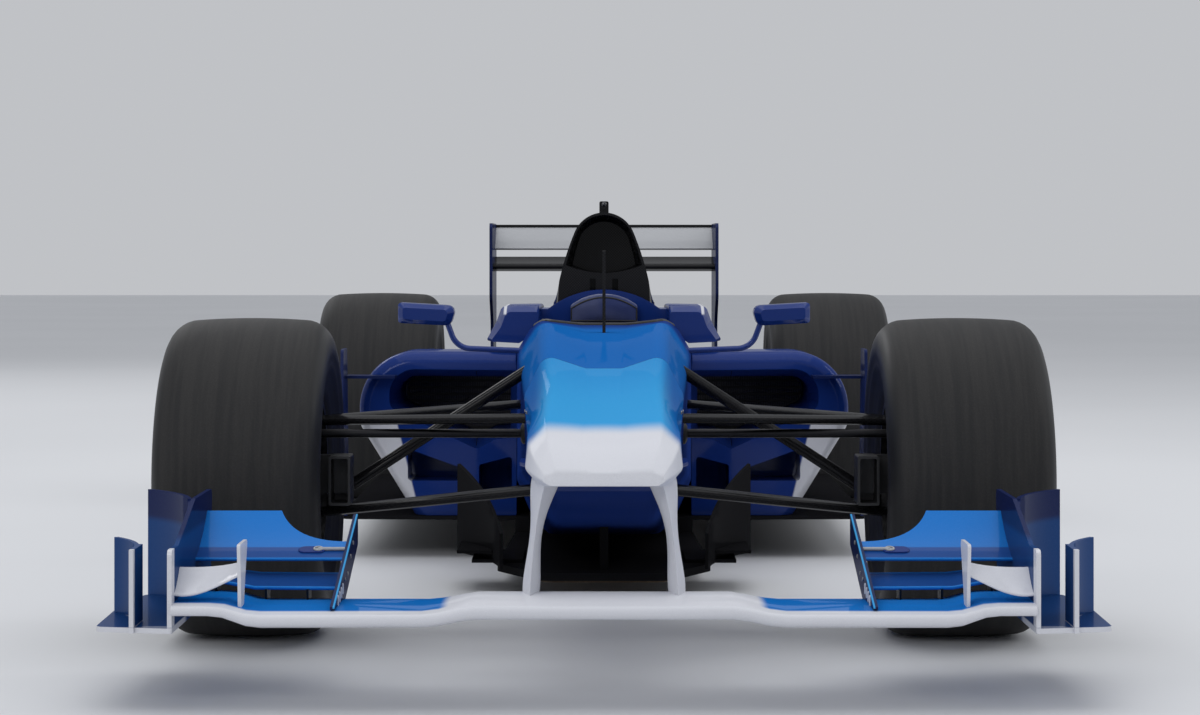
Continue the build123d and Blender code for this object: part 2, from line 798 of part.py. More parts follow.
def airbox_section(y, inset):
    """Air intake outline: the hoop's arch closed by a sagging lower lip."""
    top_z, crown, crown_z, side, side_z = AIRBOX_MOUTH
    side -= inset
    edges = arch_edges(y, top_z - inset, crown - 0.5 * inset, crown_z - 0.8 * inset, side, side_z)
    lip = (0, y, side_z - AIRBOX_SAG)
    edges.append(Edge.make_three_point_arc((-side, y, side_z), lip, (side, y, side_z)))
    return Wire(edges)


def roll_hoop():
    """Roll structure and airbox: an arch on the tub with the engine's air intake in its face."""
    body = Solid.make_loft([hoop_section(row) for row in HOOP_SECTIONS], True)
    body -= Solid.make_loft([airbox_section(*row) for row in AIRBOX_STATIONS], True)
    # two small cooling slots under the intake
    for x in (-SLOT_X, SLOT_X):
        body -= block((x - SLOT_HALF, x + SLOT_HALF), (HOOP_FRONT - 10, HOOP_FRONT + 60), (684, 720))
    return body


def camera_pod():
    base_z = HOOP_SECTIONS[1][1] - 4
    body = block((-13, 13), (HOOP_FRONT + 60, HOOP_FRONT + 160), (base_z, base_z + 44))
    body = fillet(body.edges().filter_by(Axis.Y), 5)
    lens = Pos(0, HOOP_FRONT + 58, base_z + 29) * Rot(90, 0, 0) * Cylinder(8, 8)
    return body + lens


def engine_block():
    return block((-ENGINE_HALF, ENGINE_HALF), (TUB_REAR, GEARBOX_FRONT), (FLOOR_TOP, ENGINE_TOP))


GEARBOX_REAR = REAR_AXLE + 320
# columns: y, half width, low z, high z, chamfer
GEARBOX_SECTIONS = [
    (GEARBOX_FRONT, 110, 130, 372, 26),
    (REAR_AXLE - 200, 100, 150, 370, 26),
    (REAR_AXLE + 40, 96, 200, 380, 26),
    (GEARBOX_REAR, 78, 286, 384, 24),
]


def slab_section(row):
    """Eight-sided section of a case."""
    y, half, low, high, cut = row
    right = [(half - cut, high), (half, high - cut), (half, low + cut), (half - cut, low)]
    left = [(-x, z) for x, z in reversed(right)]
    return Wire.make_polygon([(x, y, z) for x, z in right + left], close=True)


DRIVE_CUP_R = 52
SHAFT_END = 130


def gearbox():
    case = Solid.make_loft([slab_section(row) for row in GEARBOX_SECTIONS], True)
    return case + tube_x(1 - SHAFT_END, SHAFT_END - 1, REAR_AXLE, AXLE_Z, DRIVE_CUP_R)


LIGHT_LENGTH = 14


def crash_structure():
    rows = [
        GEARBOX_SECTIONS[-1],
        (REAR_Y - LIGHT_LENGTH, 50, 300, 372, 18),
    ]
    return Solid.make_loft([slab_section(row) for row in rows], True)


def rain_light():
    lamp = block((-38, 38), (REAR_Y - LIGHT_LENGTH, REAR_Y), (302, 360))
    return fillet(lamp.edges().filter_by(Axis.Y), 10)


PIPE_X = 42
PIPE_Z = 400
PIPE_R = 28


def exhaust():
    """Tail pipe on top of the gearbox, open at its rear end."""
    start = Vector(PIPE_X, REAR_AXLE - 250, PIPE_Z)
    end = Vector(PIPE_X, REAR_AXLE - 60, PIPE_Z)
    bore = rod((PIPE_X, start.Y + 60, PIPE_Z), (PIPE_X, end.Y + 10, PIPE_Z), PIPE_R - 3)
    return rod(tuple(start), tuple(end), PIPE_R) - bore


# Rear wing

REAR_WING_HALF = REAR_WHEEL_X - REAR_TYRE_WIDTH / 2 - 150  # well inside the rear tyres
REAR_PLATE_T = 10
REAR_WING_TOP = 886
BEAM_Z = 392
REAR_WING_MAIN = (REAR_AXLE + 190, 742, 205, 9, 14, 26)
REAR_WING_FLAP = (REAR_AXLE + 376, 800, 128, 36, 8, 16)
BEAM_WING = (REAR_AXLE + 250, BEAM_Z + 14, 150, 12, 10, 18)


def rear_plane(row):
    y, z, chord, angle, camber, thick = row
    half = REAR_WING_HALF - REAR_PLATE_T
    return wing_span([(x, y, z, chord, angle, camber, thick) for x in (-half, half)])


def beam_wing(case):
    """Lower wing with the saddle that stands it on the gearbox."""
    y, z = BEAM_WING[0], BEAM_WING[1]
    saddle = block((-40, 40), (y + 20, GEARBOX_REAR - 10), (z - 60, z + 4)) - case
    return rear_plane(BEAM_WING) + saddle


def rear_endplate():
    side = [
        (REAR_AXLE + 150, REAR_WING_TOP, 20),
        (REAR_AXLE + 500, REAR_WING_TOP, 20),
        (REAR_AXLE + 500, 560, 60),
        (REAR_AXLE + 450, 330, 20),
        (REAR_AXLE + 230, 330, 30),
        (REAR_AXLE + 250, 560, 60),
        (REAR_AXLE + 150, 640, 40),
    ]
    face = Face(rounded_wire(side, at_x(REAR_WING_HALF - REAR_PLATE_T)))
    return extrude(face, amount=REAR_PLATE_T, dir=(1, 0, 0))


# Cockpit fittings

# Cockpit side section at its tallest. columns: x, z, corner radius
SURROUND_SIDE = [
    (172, 588, 3),
    (172, 652, 8),
    (270, 652, 18),
    (284, 612, 30),
    (312, 560, 5),
    (236, 556, 5),
]
# columns: y, widening of the outside, rise of the top
SURROUND_STATIONS = [
    (TUB_STRAIGHT + 12, -14, -14),
    (TUB_STRAIGHT + 90, 0, 0),
    (COCKPIT_REAR + 60, 0, 0),
    (TUB_REAR - SEAT_GAP, -52, -6),
]
HEAD_Y = COCKPIT_REAR - 10
CROSS_TOP = 640
COLLAR_HALF = 152
COLLAR_TOP = 692
COLLAR_T = 40
PAD_T = 46
PAD_HALF = 100
PAD_LOW = 597
PAD_SIDE = 652
PAD_TOP = 686


def bowed_face(y, half, low, side, top):
    """Upright face with straight sides and a bowed top."""
    right, left = (half, y, side), (-half, y, side)
    edges = [Edge.make_three_point_arc(right, (0, y, top), left)]
    corners = [left, (-half, y, low), (half, y, low), right]
    edges += [Edge.make_line(a, b) for a, b in zip(corners, corners[1:])]
    return Face(Wire(edges))


def surround_section(y, widen, rise):
    corners = []
    for x, z, radius in SURROUND_SIDE:
        out = widen if x > 200 else 0
        up = rise if z > TUB_TOP else 0
        corners.append((x + out, z + up, radius))
    return rounded_wire(corners, at_y(y))


def cockpit_surround():
    """Raised cockpit sides with the cross piece and arch behind the driver's head."""
    side = Solid.make_loft([surround_section(*row) for row in SURROUND_STATIONS], True)
    cross = block((-180, 180), (HEAD_Y, HOOP_FRONT - SEAT_GAP), (TUB_TOP - 20, CROSS_TOP))
    arch = bowed_face(HEAD_Y, COLLAR_HALF, CROSS_TOP - 20, CROSS_TOP, COLLAR_TOP)
    collar = extrude(arch, amount=COLLAR_T, dir=(0, 1, 0))
    return side + other_side(side) + cross + collar


def head_pad():
    """Pad against the arch, its top bowed like the arch."""
    face = bowed_face(HEAD_Y - PAD_T, PAD_HALF, PAD_LOW, PAD_SIDE, PAD_TOP)
    return extrude(face, amount=PAD_T, dir=(0, 1, 0))


SEAT_HALF = 170
SEAT_HOLLOW_HALF = 146


def seat():
    """Reclined bucket seat."""
    side = [
        (COCKPIT_REAR - 40, 560, 20),
        (COCKPIT_REAR - 230, FLOOR_TOP + TUB_WALL, 100),
        (COCKPIT_REAR - 620, FLOOR_TOP + TUB_WALL, 30),
        (COCKPIT_REAR - 640, 240, 20),
        (COCKPIT_REAR - 420, 290, 120),
        (COCKPIT_REAR - 330, 420, 120),
        (COCKPIT_REAR - 160, 560, 20),
    ]
    outside = extrude(Face(rounded_wire(side, at_x(-SEAT_HALF))), amount=2 * SEAT_HALF, dir=(1, 0, 0))
    hollow_side = [
        (COCKPIT_REAR - 66, 620, 20),
        (COCKPIT_REAR - 248, 214, 100),
        (COCKPIT_REAR - 700, 196, 40),
        (COCKPIT_REAR - 700, 620, 20),
    ]
    face = Face(rounded_wire(hollow_side, at_x(-SEAT_HOLLOW_HALF)))
    hollow = extrude(face, amount=2 * SEAT_HOLLOW_HALF, dir=(1, 0, 0))
    return outside - hollow


WHEEL_CENTRE = (0, COCKPIT_FRONT + 130, 560)
WHEEL_TILT = 20
WHEEL_T = 22


def steering_frame():
    return Pos(*WHEEL_CENTRE) * Rot(90 + WHEEL_TILT, 0, 0)


def steering_wheel():
    """Rectangular racing wheel with a grip at each side and a display body."""
    centre = steering_frame()
    corners = [(80, 52, 18), (80, -56, 22), (-80, -56, 22), (-80, 52, 18)]
    plate = extrude(Face(rounded_wire(corners, at_z(-WHEEL_T / 2))), amount=WHEEL_T, dir=(0, 0, 1))
    grips = plate
    for side in (-1, 1):
        grip = [(side * 112, 56), (side * 120, 0), (side * 98, -56)]
        for a, b in zip(grip, grip[1:]):
            grips += rod((*a, 0), (*b, 0), 14)
        for p in grip:
            grips += Pos(*p, 0) * Sphere(14)
        grips += rod((side * 66, 38, 0), (side * 112, 48, 0), 10)
        grips += rod((side * 66, -44, 0), (side * 100, -50, 0), 10)
    return centre * grips


COLUMN_LENGTH = 240
COLUMN_R = 22


def steering_column(space):
    """Fixed tube that carries the wheel's spindle, hung from the roof of the footwell."""
    tube = Pos(0, 0, WHEEL_T / 2 + RUN_GAP + COLUMN_LENGTH / 2) * Cylinder(COLUMN_R, COLUMN_LENGTH)
    hanger_y = WHEEL_CENTRE[1] - 190
    hanger = block((-24, 24), (hanger_y - 14, hanger_y + 14), (WHEEL_CENTRE[2] - 75, 700)) & space
    return steering_frame() * tube + hanger


MIRROR_Y = FRONT_AXLE + 1050
# columns: x, z, corner radius
MIRROR_SHELL = [
    (362, 664, 18),
    (505, 672, 8),
    (505, 622, 8),
    (376, 615, 18),
]
MIRROR_BACK = [
    (380, 654, 10),
    (492, 660, 6),
    (492, 632, 6),
    (388, 626, 8),
]
MIRROR_HOLE = [
    (371, 658, 14),
    (499, 666, 6),
    (499, 628, 6),
    (382, 621, 12),
]
GLASS_Y = MIRROR_Y + 20
GLASS_T = 4
# way in from each corner of the hole to the glass
GLASS_INWARD = [(1, -1), (-1, -1), (-1, 1), (1, 1)]


def mirror_pod():
    """Mirror housing on a curved stalk from the tub's side."""
    housing = Solid.make_loft(
        [
            rounded_wire(MIRROR_BACK, at_y(MIRROR_Y - 40)),
            rounded_wire(MIRROR_SHELL, at_y(MIRROR_Y - 14)),
            rounded_wire(MIRROR_SHELL, at_y(MIRROR_Y + 40)),
        ],
        True,
    )
    hole = Face(rounded_wire(MIRROR_HOLE, at_y(GLASS_Y)))
    housing -= extrude(hole, amount=40, dir=(0, 1, 0))
    path = FilletPolyline((190, MIRROR_Y, 553), (362, MIRROR_Y, 560), (384, MIRROR_Y, 620), radius=50)
    stalk = sweep(Plane(path @ 0, z_dir=path % 0) * Ellipse(7, 13), path)
    return housing + stalk


def mirror_glass():
    outline = [
        (x + SEAT_GAP * in_x, z + SEAT_GAP * in_z, radius)
        for (x, z, radius), (in_x, in_z) in zip(MIRROR_HOLE, GLASS_INWARD)
    ]
    return extrude(Face(rounded_wire(outline, at_y(GLASS_Y))), amount=GLASS_T, dir=(0, 1, 0))


def antenna():
    y = FRONT_AXLE + 330
    side = [
        (y - 16, 595, 3),
        (y + 24, 800, 3),
        (y + 30, 800, 3),
        (y + 48, 595, 3),
    ]
    return extrude(Face(rounded_wire(side, at_x(-3.5))), amount=7, dir=(1, 0, 0))


# Front suspension, built on the +X side


def wishbone(ball, inboard):
    """Two oval legs from a ball housing to the points inboard."""
    x, y, z = ball
    body = tube_z(x, y, z - BALL_H / 2, z + BALL_H / 2, BALL_R)
    for point in inboard:
        body += bar(ball, point, LEG_CHORD, LEG_T)
    return body - tube_z(x, y, z - BALL_H, z + BALL_H, PIN_R + RUN_GAP)


STRUT_X = KINGPIN_X - 45
STRUT_Z = LOWER_BALL_Z + 33


def front_wishbones(outside):
    upper = wishbone(
        (KINGPIN_X, FRONT_AXLE, UPPER_BALL_Z),
        [(120, FRONT_AXLE - 190, 463), (120, FRONT_AXLE + 270, 470)],
    )
    lower = wishbone(
        (KINGPIN_X, FRONT_AXLE, LOWER_BALL_Z),
        [(85, FRONT_AXLE - 190, 322), (80, FRONT_AXLE + 290, 288)],
    )
    foot_x, foot_y = (STRUT_X - 12, STRUT_X + 12), (FRONT_AXLE - 13, FRONT_AXLE + 13)
    lower += block(foot_x, foot_y, (LOWER_BALL_Z, STRUT_Z + 6))
    return upper - outside, lower - outside


def front_pushrod(outside, wishbone_below):
    """Strut from the lower wishbone's outer end up into the tub's side."""
    strut = bar((STRUT_X, FRONT_AXLE, STRUT_Z), (120, FRONT_AXLE + 30, STRUT_Z + 289), 42, 24)
    return strut - outside - wishbone_below


UPRIGHT_X = KINGPIN_X + BALL_R + 14
LUG_T = 12


def front_upright():
    """Upright with forked lugs for both wishbones, bearing housing and steering arm."""
    post = block(
        (UPRIGHT_X, UPRIGHT_X + 28),
        (FRONT_AXLE - 30, FRONT_AXLE + 30),
        (LOWER_BALL_Z - 28, UPPER_BALL_Z + 26),
    )
    body = post + tube_x(UPRIGHT_X, UPRIGHT_X + 50, FRONT_AXLE, AXLE_Z, HUB_R)
    lug_x, lug_y = (KINGPIN_X, UPRIGHT_X + 5), (FRONT_AXLE - BALL_R, FRONT_AXLE + BALL_R)
    for z in (UPPER_BALL_Z, LOWER_BALL_Z):
        for side in (-1, 1):
            near = z + side * (BALL_H / 2 + 1)
            far = near + side * LUG_T
            body += block(lug_x, lug_y, (min(near, far), max(near, far)))
            body += tube_z(KINGPIN_X, FRONT_AXLE, near, far, BALL_R)
        body += tube_z(KINGPIN_X, FRONT_AXLE, z - BALL_H / 2 - 2, z + BALL_H / 2 + 2, PIN_R)
    arm_y = FRONT_AXLE - STEERING_ARM
    arm_z = TRACK_ROD_Z - EYE_H / 2 - 4
    body += block((UPRIGHT_X, UPRIGHT_X + 24), (arm_y - 12, FRONT_AXLE), (arm_z - 14, arm_z))
    body += block((KINGPIN_X - 12, UPRIGHT_X + 5), (arm_y - 12, arm_y + 12), (arm_z - 14, arm_z))
    body += tube_z(KINGPIN_X, arm_y, arm_z - 5, TRACK_ROD_Z + TRACK_ROD_R, 4)
    body -= tube_x(UPRIGHT_X - 40, UPRIGHT_X + 90, FRONT_AXLE, AXLE_Z, AXLE_R + RUN_GAP)
    return body


FRONT_DISC_X = UPRIGHT_X + 62


def caliper(disc_x, axle_y, post_x):
    """Brake caliper astride the disc, behind the axle."""
    outer = DISC_R + 12
    ring = tube_x(disc_x - 12, disc_x + DISC_T + 12, axle_y, AXLE_Z, outer)
    ring -= tube_x(disc_x - 20, disc_x + DISC_T + 20, axle_y, AXLE_Z, 84)
    slot = tube_x(disc_x - 5, disc_x + DISC_T + 5, axle_y, AXLE_Z, DISC_R + 5)
    reach = (axle_y + 60, axle_y + 200)
    wedge = block((disc_x - 30, disc_x + DISC_T + 30), reach, (AXLE_Z - HUB_R, AXLE_Z + HUB_R))
    arm = block((post_x, disc_x - 6), (axle_y + 20, axle_y + 110), (AXLE_Z - 20, AXLE_Z + 20))
    return (ring - slot) & wedge, arm


DUCT_IN = KINGPIN_X - 96
DUCT_OUT = KINGPIN_X - 52
DUCT_LOW = 284
DUCT_HIGH = 384
DUCT_FRONT = FRONT_AXLE - 165
DUCT_BACK = FRONT_AXLE - 84
DUCT_WALL = 5
NECK_REAR = FRONT_AXLE - 66  # stays ahead of the pushrod at full lock


def duct_box(front, inset):
    low_x, high_x = DUCT_IN + inset, DUCT_OUT - inset
    low_z, high_z = DUCT_LOW + inset, DUCT_HIGH - inset
    mouth = [(low_x, low_z, 4), (low_x, high_z, 4), (high_x, high_z, 4), (high_x, low_z, 4)]
    return extrude(Face(rounded_wire(mouth, at_y(front))), amount=DUCT_BACK - DUCT_FRONT, dir=(0, 1, 0))


def brake_duct():
    """Deep scoop that feeds air to the disc, its mouth just inside the tyre."""
    scoop = duct_box(DUCT_FRONT, 0) - duct_box(DUCT_FRONT - DUCT_WALL, DUCT_WALL)
    neck_z = (DUCT_LOW + 20, DUCT_HIGH - 2)
    neck = block((DUCT_IN + 6, UPRIGHT_X + 4), (DUCT_BACK - 20, NECK_REAR), neck_z)
    root = block((UPRIGHT_X - 8, UPRIGHT_X + 4), (DUCT_BACK - 20, FRONT_AXLE - AXLE_R - 4), neck_z)
    return scoop + neck + root


def front_corner():
    body = front_upright()
    grip, arm = caliper(FRONT_DISC_X, FRONT_AXLE, UPRIGHT_X + 20)
    body = body + grip + arm
    body -= tube_x(UPRIGHT_X - 40, UPRIGHT_X + 90, FRONT_AXLE, AXLE_Z, AXLE_R + RUN_GAP)
    return body + brake_duct()


def track_rods():
    """Rack bar and both track rods, which slide sideways together."""
    y = FRONT_AXLE - STEERING_ARM
    body = tube_x(10 - KINGPIN_X, KINGPIN_X - 10, y, TRACK_ROD_Z, TRACK_ROD_R)
    for x in (-KINGPIN_X, KINGPIN_X):
        body += tube_z(x, y, TRACK_ROD_Z - EYE_H / 2, TRACK_ROD_Z + EYE_H / 2, EYE_R)
        body -= tube_z(x, y, TRACK_ROD_Z - EYE_H, TRACK_ROD_Z + EYE_H, EYE_BORE_R)
    return body


# Rear suspension, built on the +X side

REAR_UPRIGHT_X = REAR_WHEEL_X - 100
REAR_DISC_X = REAR_UPRIGHT_X + 62
REAR_UPPER_Z = 440
REAR_LOWER_Z = 220


def rear_wishbones(case):
    """Pairs of legs that run from the gearbox to the upright's inner face."""
    legs = {}
    # columns: name, outer z, inner point
    for name, z, inner in (
        ("upper", REAR_UPPER_Z, (60, REAR_AXLE - 130, 350)),
        ("upper", REAR_UPPER_Z, (60, REAR_AXLE + 210, 345)),
        ("lower", REAR_LOWER_Z, (60, REAR_AXLE - 130, 215)),
        ("lower", REAR_LOWER_Z, (60, REAR_AXLE + 210, 300)),
    ):
        outer = Vector(REAR_UPRIGHT_X, REAR_AXLE, z)
        past = outer + (outer - Vector(*inner)).normalized() * 50
        leg = bar(tuple(past), inner, LEG_CHORD, LEG_T)
        legs[name] = legs[name] + leg if name in legs else leg
    trim = block((REAR_UPRIGHT_X - SEAT_GAP, OVERALL_WIDTH / 2), (REAR_AXLE - 300, REAR_AXLE + 300), (0, 700))
    return legs["upper"] - case - trim, legs["lower"] - case - trim


def rear_upright():
    post = block(
        (REAR_UPRIGHT_X, REAR_UPRIGHT_X + 28),
        (REAR_AXLE - 34, REAR_AXLE + 34),
        (REAR_LOWER_Z - 18, REAR_UPPER_Z + 16),
    )
    body = post + tube_x(REAR_UPRIGHT_X, REAR_UPRIGHT_X + 50, REAR_AXLE, AXLE_Z, HUB_R)
    grip, arm = caliper(REAR_DISC_X, REAR_AXLE, REAR_UPRIGHT_X + 20)
    body = body + grip + arm
    return body - tube_x(REAR_UPRIGHT_X - 40, REAR_UPRIGHT_X + 90, REAR_AXLE, AXLE_Z, AXLE_R + RUN_GAP)


# Wheels, built round the origin with the outer face towards +X


def tyre_ring(x, radius):
    """Corner points of one ring of the tyre's facets, whose flats lie on the radius."""
    reach = radius / math.cos(math.pi / TYRE_FACETS)
    turns = [2 * math.pi * (i + 0.5) / TYRE_FACETS for i in range(TYRE_FACETS)]
    return [Vector(x, reach * math.sin(turn), reach * math.cos(turn)) for turn in turns]


def tyre(width):
    """Slick tyre of flat facets: one row for the tread, a few round each shoulder, then wall and bead."""
    outer = TYRE_DIAMETER / 2
    tread = width / 2 - SHOULDER_R
    half = []
    for i in range(SHOULDER_STEPS + 1):
        turn = math.radians(90 * i / SHOULDER_STEPS)
        half.append((tread + SHOULDER_R * math.sin(turn), outer - SHOULDER_R * (1 - math.cos(turn))))
    half.append((width / 2 - BEAD_INSET, BEAD_R + SEAT_GAP))
    profile = [(-x, r) for x, r in reversed(half)] + half
    rings = [tyre_ring(x, r) for x, r in profile]
    faces = []
    for near, far in zip(rings, rings[1:] + rings[:1]):
        for i in range(TYRE_FACETS):
            corners = [near[i - 1], near[i], far[i], far[i - 1]]
            faces.append(Face(Wire.make_polygon(corners, close=True)))
    return Solid(Shell(faces))


def rim(width):
    """One-piece wheel: barrel with flanges, dished spoke face, hub with centre nut."""
    half = width / 2 - BEAD_INSET
    barrel_points = [
        (-half, RIM_INNER_R),
        (-half, BEAD_R),
        (half, BEAD_R),
        (half, RIM_INNER_R),
    ]
    barrel = revolve(sharp_face(barrel_points, lambda u, v: (u, 0, v)), Axis.X, 360)
    face_x = half - 30
    dish_points = [
        (face_x - 40, 0),
        (face_x - 40, 50),
        (face_x - 12, RIM_INNER_R + 4),
        (face_x + 6, RIM_INNER_R + 4),
        (face_x - 14, 50),
        (face_x - 14, 0),
    ]
    dish = revolve(sharp_face(dish_points, lambda u, v: (u, 0, v)), Axis.X, 360)
    window = Wire.make_polygon([(0, -11, 62), (0, 11, 62), (0, 30, 140), (0, -30, 140)], close=True)
    cutter = extrude(Face(window), amount=400, both=True, dir=(1, 0, 0))
    for i in range(SPOKES):
        dish -= Rot(360 * i / SPOKES, 0, 0) * cutter
    nut = Pos(face_x, 0, 0) * Rot(0, 90, 0) * Cylinder(34, 40)
    return barrel + dish + nut


def hub(width, disc_offset, shaft_end):
    """Stub axle with the brake disc; the rear ones run on as drive shafts."""
    half = width / 2 - BEAD_INSET
    face_x = half - 30
    axle = tube_x(shaft_end, face_x - 40 - SEAT_GAP, 0, 0, AXLE_R)
    disc = tube_x(disc_offset, disc_offset + DISC_T, 0, 0, DISC_R)
    disc += tube_x(disc_offset, face_x - 40 - SEAT_GAP, 0, 0, 48)
    return axle + disc


def place_wheel(shape, side, x, y):
    """Puts a wheel part on its axle; side is 1 on the +X side and -1 on the other."""
    turned = shape if side > 0 else other_side(shape)
    return Pos(side * x, y, AXLE_Z) * turned


def build():
    nodes = {}
    outside = tub_shape(TUB_SECTIONS, 0.0, TUB_REAR)
    space = cockpit_space()
    plane = main_plane()
    nodes["monocoque"] = monocoque(outside, space)
    nodes["nose_cone"] = nose_cone() - plane
    nodes["front_wing_main_plane"] = plane
    nodes["front_wing_flaps"] = Compound(
        list(both_sides(flap(LOWER_FLAP)).solids()) + list(both_sides(upper_flap()).solids())
    )
    nodes["front_wing_endplates"] = both_sides(endplate())
    nodes["front_wing_strakes"] = both_sides(flap_strake() - plane)
    nodes["front_wing_cascades"] = both_sides(cascade() - plane)
    nodes["floor"] = floor()
    nodes["skid_plank"] = skid_plank()
    nodes["splitter_stay"] = splitter_stay() - outside
    nodes["diffuser"] = diffuser()
    nodes["bargeboards"] = both_sides(bargeboard())
    pod = sidepod()
    nodes["sidepod_left"] = pod
    nodes["sidepod_right"] = other_side(pod)
    nodes["radiators"] = both_sides(radiator())
    nodes["pod_vanes"] = both_sides(pod_vane() - pod)
    nodes["engine_cover"] = engine_cover()
    hoop = roll_hoop() - outside
    nodes["roll_hoop"] = hoop
    nodes["camera_pod"] = camera_pod() - hoop
    nodes["engine_block"] = engine_block()
    case = gearbox()
    nodes["gearbox"] = case
    nodes["rear_crash_structure"] = crash_structure()
    nodes["rain_light"] = rain_light()
    nodes["exhausts"] = both_sides(exhaust() - case)
    nodes["rear_wing_main_plane"] = rear_plane(REAR_WING_MAIN)
    nodes["rear_wing_flap"] = rear_plane(REAR_WING_FLAP)
    nodes["rear_beam_wing"] = beam_wing(case)
    nodes["rear_wing_endplates"] = both_sides(rear_endplate())
    nodes["cockpit_surround"] = cockpit_surround() - outside - hoop
    nodes["head_pad"] = head_pad()
    nodes["seat"] = seat() & space
    nodes["steering_wheel"] = steering_wheel()
    nodes["steering_column"] = steering_column(space)
    nodes["mirrors"] = both_sides(mirror_pod() - outside)
    nodes["mirror_glass"] = both_sides(mirror_glass())
    nodes["antenna"] = antenna() - outside
    upper, lower = front_wishbones(outside)
    nodes["front_upper_wishbones"] = both_sides(upper)
    nodes["front_lower_wishbones"] = both_sides(lower)
    nodes["front_pushrods"] = both_sides(front_pushrod(outside, lower))
    upper, lower = rear_wishbones(case)
    nodes["rear_upper_wishbones"] = both_sides(upper)
    nodes["rear_lower_wishbones"] = both_sides(lower)
    nodes["rear_uprights"] = both_sides(rear_upright())
    corner = front_corner()
    nodes["front_upright_left"] = corner
    nodes["front_upright_right"] = other_side(corner)
    nodes["track_rods"] = track_rods()
    # columns: name, side, axle y, wheel centre x, tyre width, disc x, inboard end of the shaft
    wheels = [
        ("front_left", 1, FRONT_AXLE, FRONT_WHEEL_X, FRONT_TYRE_WIDTH, FRONT_DISC_X, UPRIGHT_X),
        ("front_right", -1, FRONT_AXLE, FRONT_WHEEL_X, FRONT_TYRE_WIDTH, FRONT_DISC_X, UPRIGHT_X),
        ("rear_left", 1, REAR_AXLE, REAR_WHEEL_X, REAR_TYRE_WIDTH, REAR_DISC_X, SHAFT_END),
        ("rear_right", -1, REAR_AXLE, REAR_WHEEL_X, REAR_TYRE_WIDTH, REAR_DISC_X, SHAFT_END),
    ]
    for name, side, axle, x, width, disc_x, shaft_x in wheels:
        nodes["tyre_" + name] = place_wheel(tyre(width), side, x, axle)
        nodes["rim_" + name] = place_wheel(rim(width), side, x, axle)
        nodes["hub_" + name] = place_wheel(hub(width, disc_x - x, shaft_x - x), side, x, axle)
    return nodes


os.makedirs("parts", exist_ok=True)
for node, shape in build().items():
    export_step(shape, os.path.join("parts", node + ".step"))
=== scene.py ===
import json
import math
from functools import partialmethod

import bmesh
import bpy
from mathutils import Matrix, Vector
from mathutils.bvhtree import BVHTree


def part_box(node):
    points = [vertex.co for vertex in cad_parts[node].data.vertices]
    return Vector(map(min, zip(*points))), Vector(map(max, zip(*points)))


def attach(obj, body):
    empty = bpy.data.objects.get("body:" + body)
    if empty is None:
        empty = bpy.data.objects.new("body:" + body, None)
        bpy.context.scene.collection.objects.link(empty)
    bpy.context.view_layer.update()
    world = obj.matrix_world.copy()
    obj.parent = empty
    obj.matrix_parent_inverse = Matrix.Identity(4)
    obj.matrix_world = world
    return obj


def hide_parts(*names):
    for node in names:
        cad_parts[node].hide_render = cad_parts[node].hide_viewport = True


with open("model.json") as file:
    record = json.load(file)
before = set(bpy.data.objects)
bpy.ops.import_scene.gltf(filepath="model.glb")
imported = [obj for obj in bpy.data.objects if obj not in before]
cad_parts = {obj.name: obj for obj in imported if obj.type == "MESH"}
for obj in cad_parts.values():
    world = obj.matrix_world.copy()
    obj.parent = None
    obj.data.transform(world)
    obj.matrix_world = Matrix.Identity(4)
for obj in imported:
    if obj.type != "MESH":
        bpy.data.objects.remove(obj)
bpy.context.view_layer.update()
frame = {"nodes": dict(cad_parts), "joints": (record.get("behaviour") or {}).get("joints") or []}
nodes = frame["nodes"]
WHEELS = ("front_left", "front_right", "rear_left", "rear_right")
SIDES = (-1, 1)

# Photograph: size, focal length and eye point in pixels, and where the camera stood in metres
PHOTO_W, PHOTO_H = 1200, 715
FOCAL_PX = 2820
EYE_PX = (604, 247)
CAMERA_AT = (0.0, -7.277, 0.808)
SENSOR_MM = 36

# Livery and painted highlights, as linear colours
PEARL = (0.70, 0.71, 0.76)
# Light sky blue: on the nose top partly its own paint and partly a painted highlight, on the strakes a
# painted highlight
SKY_BLUE_AND_HIGHLIGHT = (0.030, 0.340, 0.72)
NOSE_BLUE = (0.002, 0.125, 0.45)
ROYAL_BLUE = (0.006, 0.030, 0.19)
WING_BLUE = (0.003, 0.165, 0.56)
NAVY = (0.006, 0.015, 0.080)
CARBON_DARK = (0.007, 0.007, 0.008)
CARBON_PALE = (0.017, 0.017, 0.019)
SATIN_GREY = (0.40, 0.41, 0.43)
BLACK = (0, 0, 0)
WHITE = (1, 1, 1)


class Share:
    """A number that varies over a surface, with its arithmetic done by nodes."""

    def __init__(self, finish, socket):
        self.finish = finish
        self.socket = socket

    def math(self, operation, other=0.0):
        made = self.finish.node("ShaderNodeMath", [("operation", operation)])
        self.finish.feed(made.inputs[0], self)
        self.finish.feed(made.inputs[1], other)
        return Share(self.finish, made.outputs[0])

    __add__ = partialmethod(math, "ADD")
    __sub__ = partialmethod(math, "SUBTRACT")
    __mul__ = partialmethod(math, "MULTIPLY")
    __abs__ = partialmethod(math, "ABSOLUTE")

    def __rsub__(self, other):
        return self * -1 + other

    def zigzag(self, top=1.0):
        """Up from 0 to top and down again, over and over."""
        return self.math("PINGPONG", top)

    def fade(self, start, end, low=0.0, high=1.0):
        """Smooth step from low at start to high at end."""
        made = self.finish.node(
            "ShaderNodeMapRange",
            [("interpolation_type", "SMOOTHSTEP")],
            Value=self, From_Min=start, From_Max=end, To_Min=low, To_Max=high,
        )
        return Share(self.finish, made.outputs[0])

    def band(self, low, high, soft):
        """1 between low and high, with soft edges."""
        return self.fade(low - soft, low + soft) * self.fade(high + soft, high - soft)


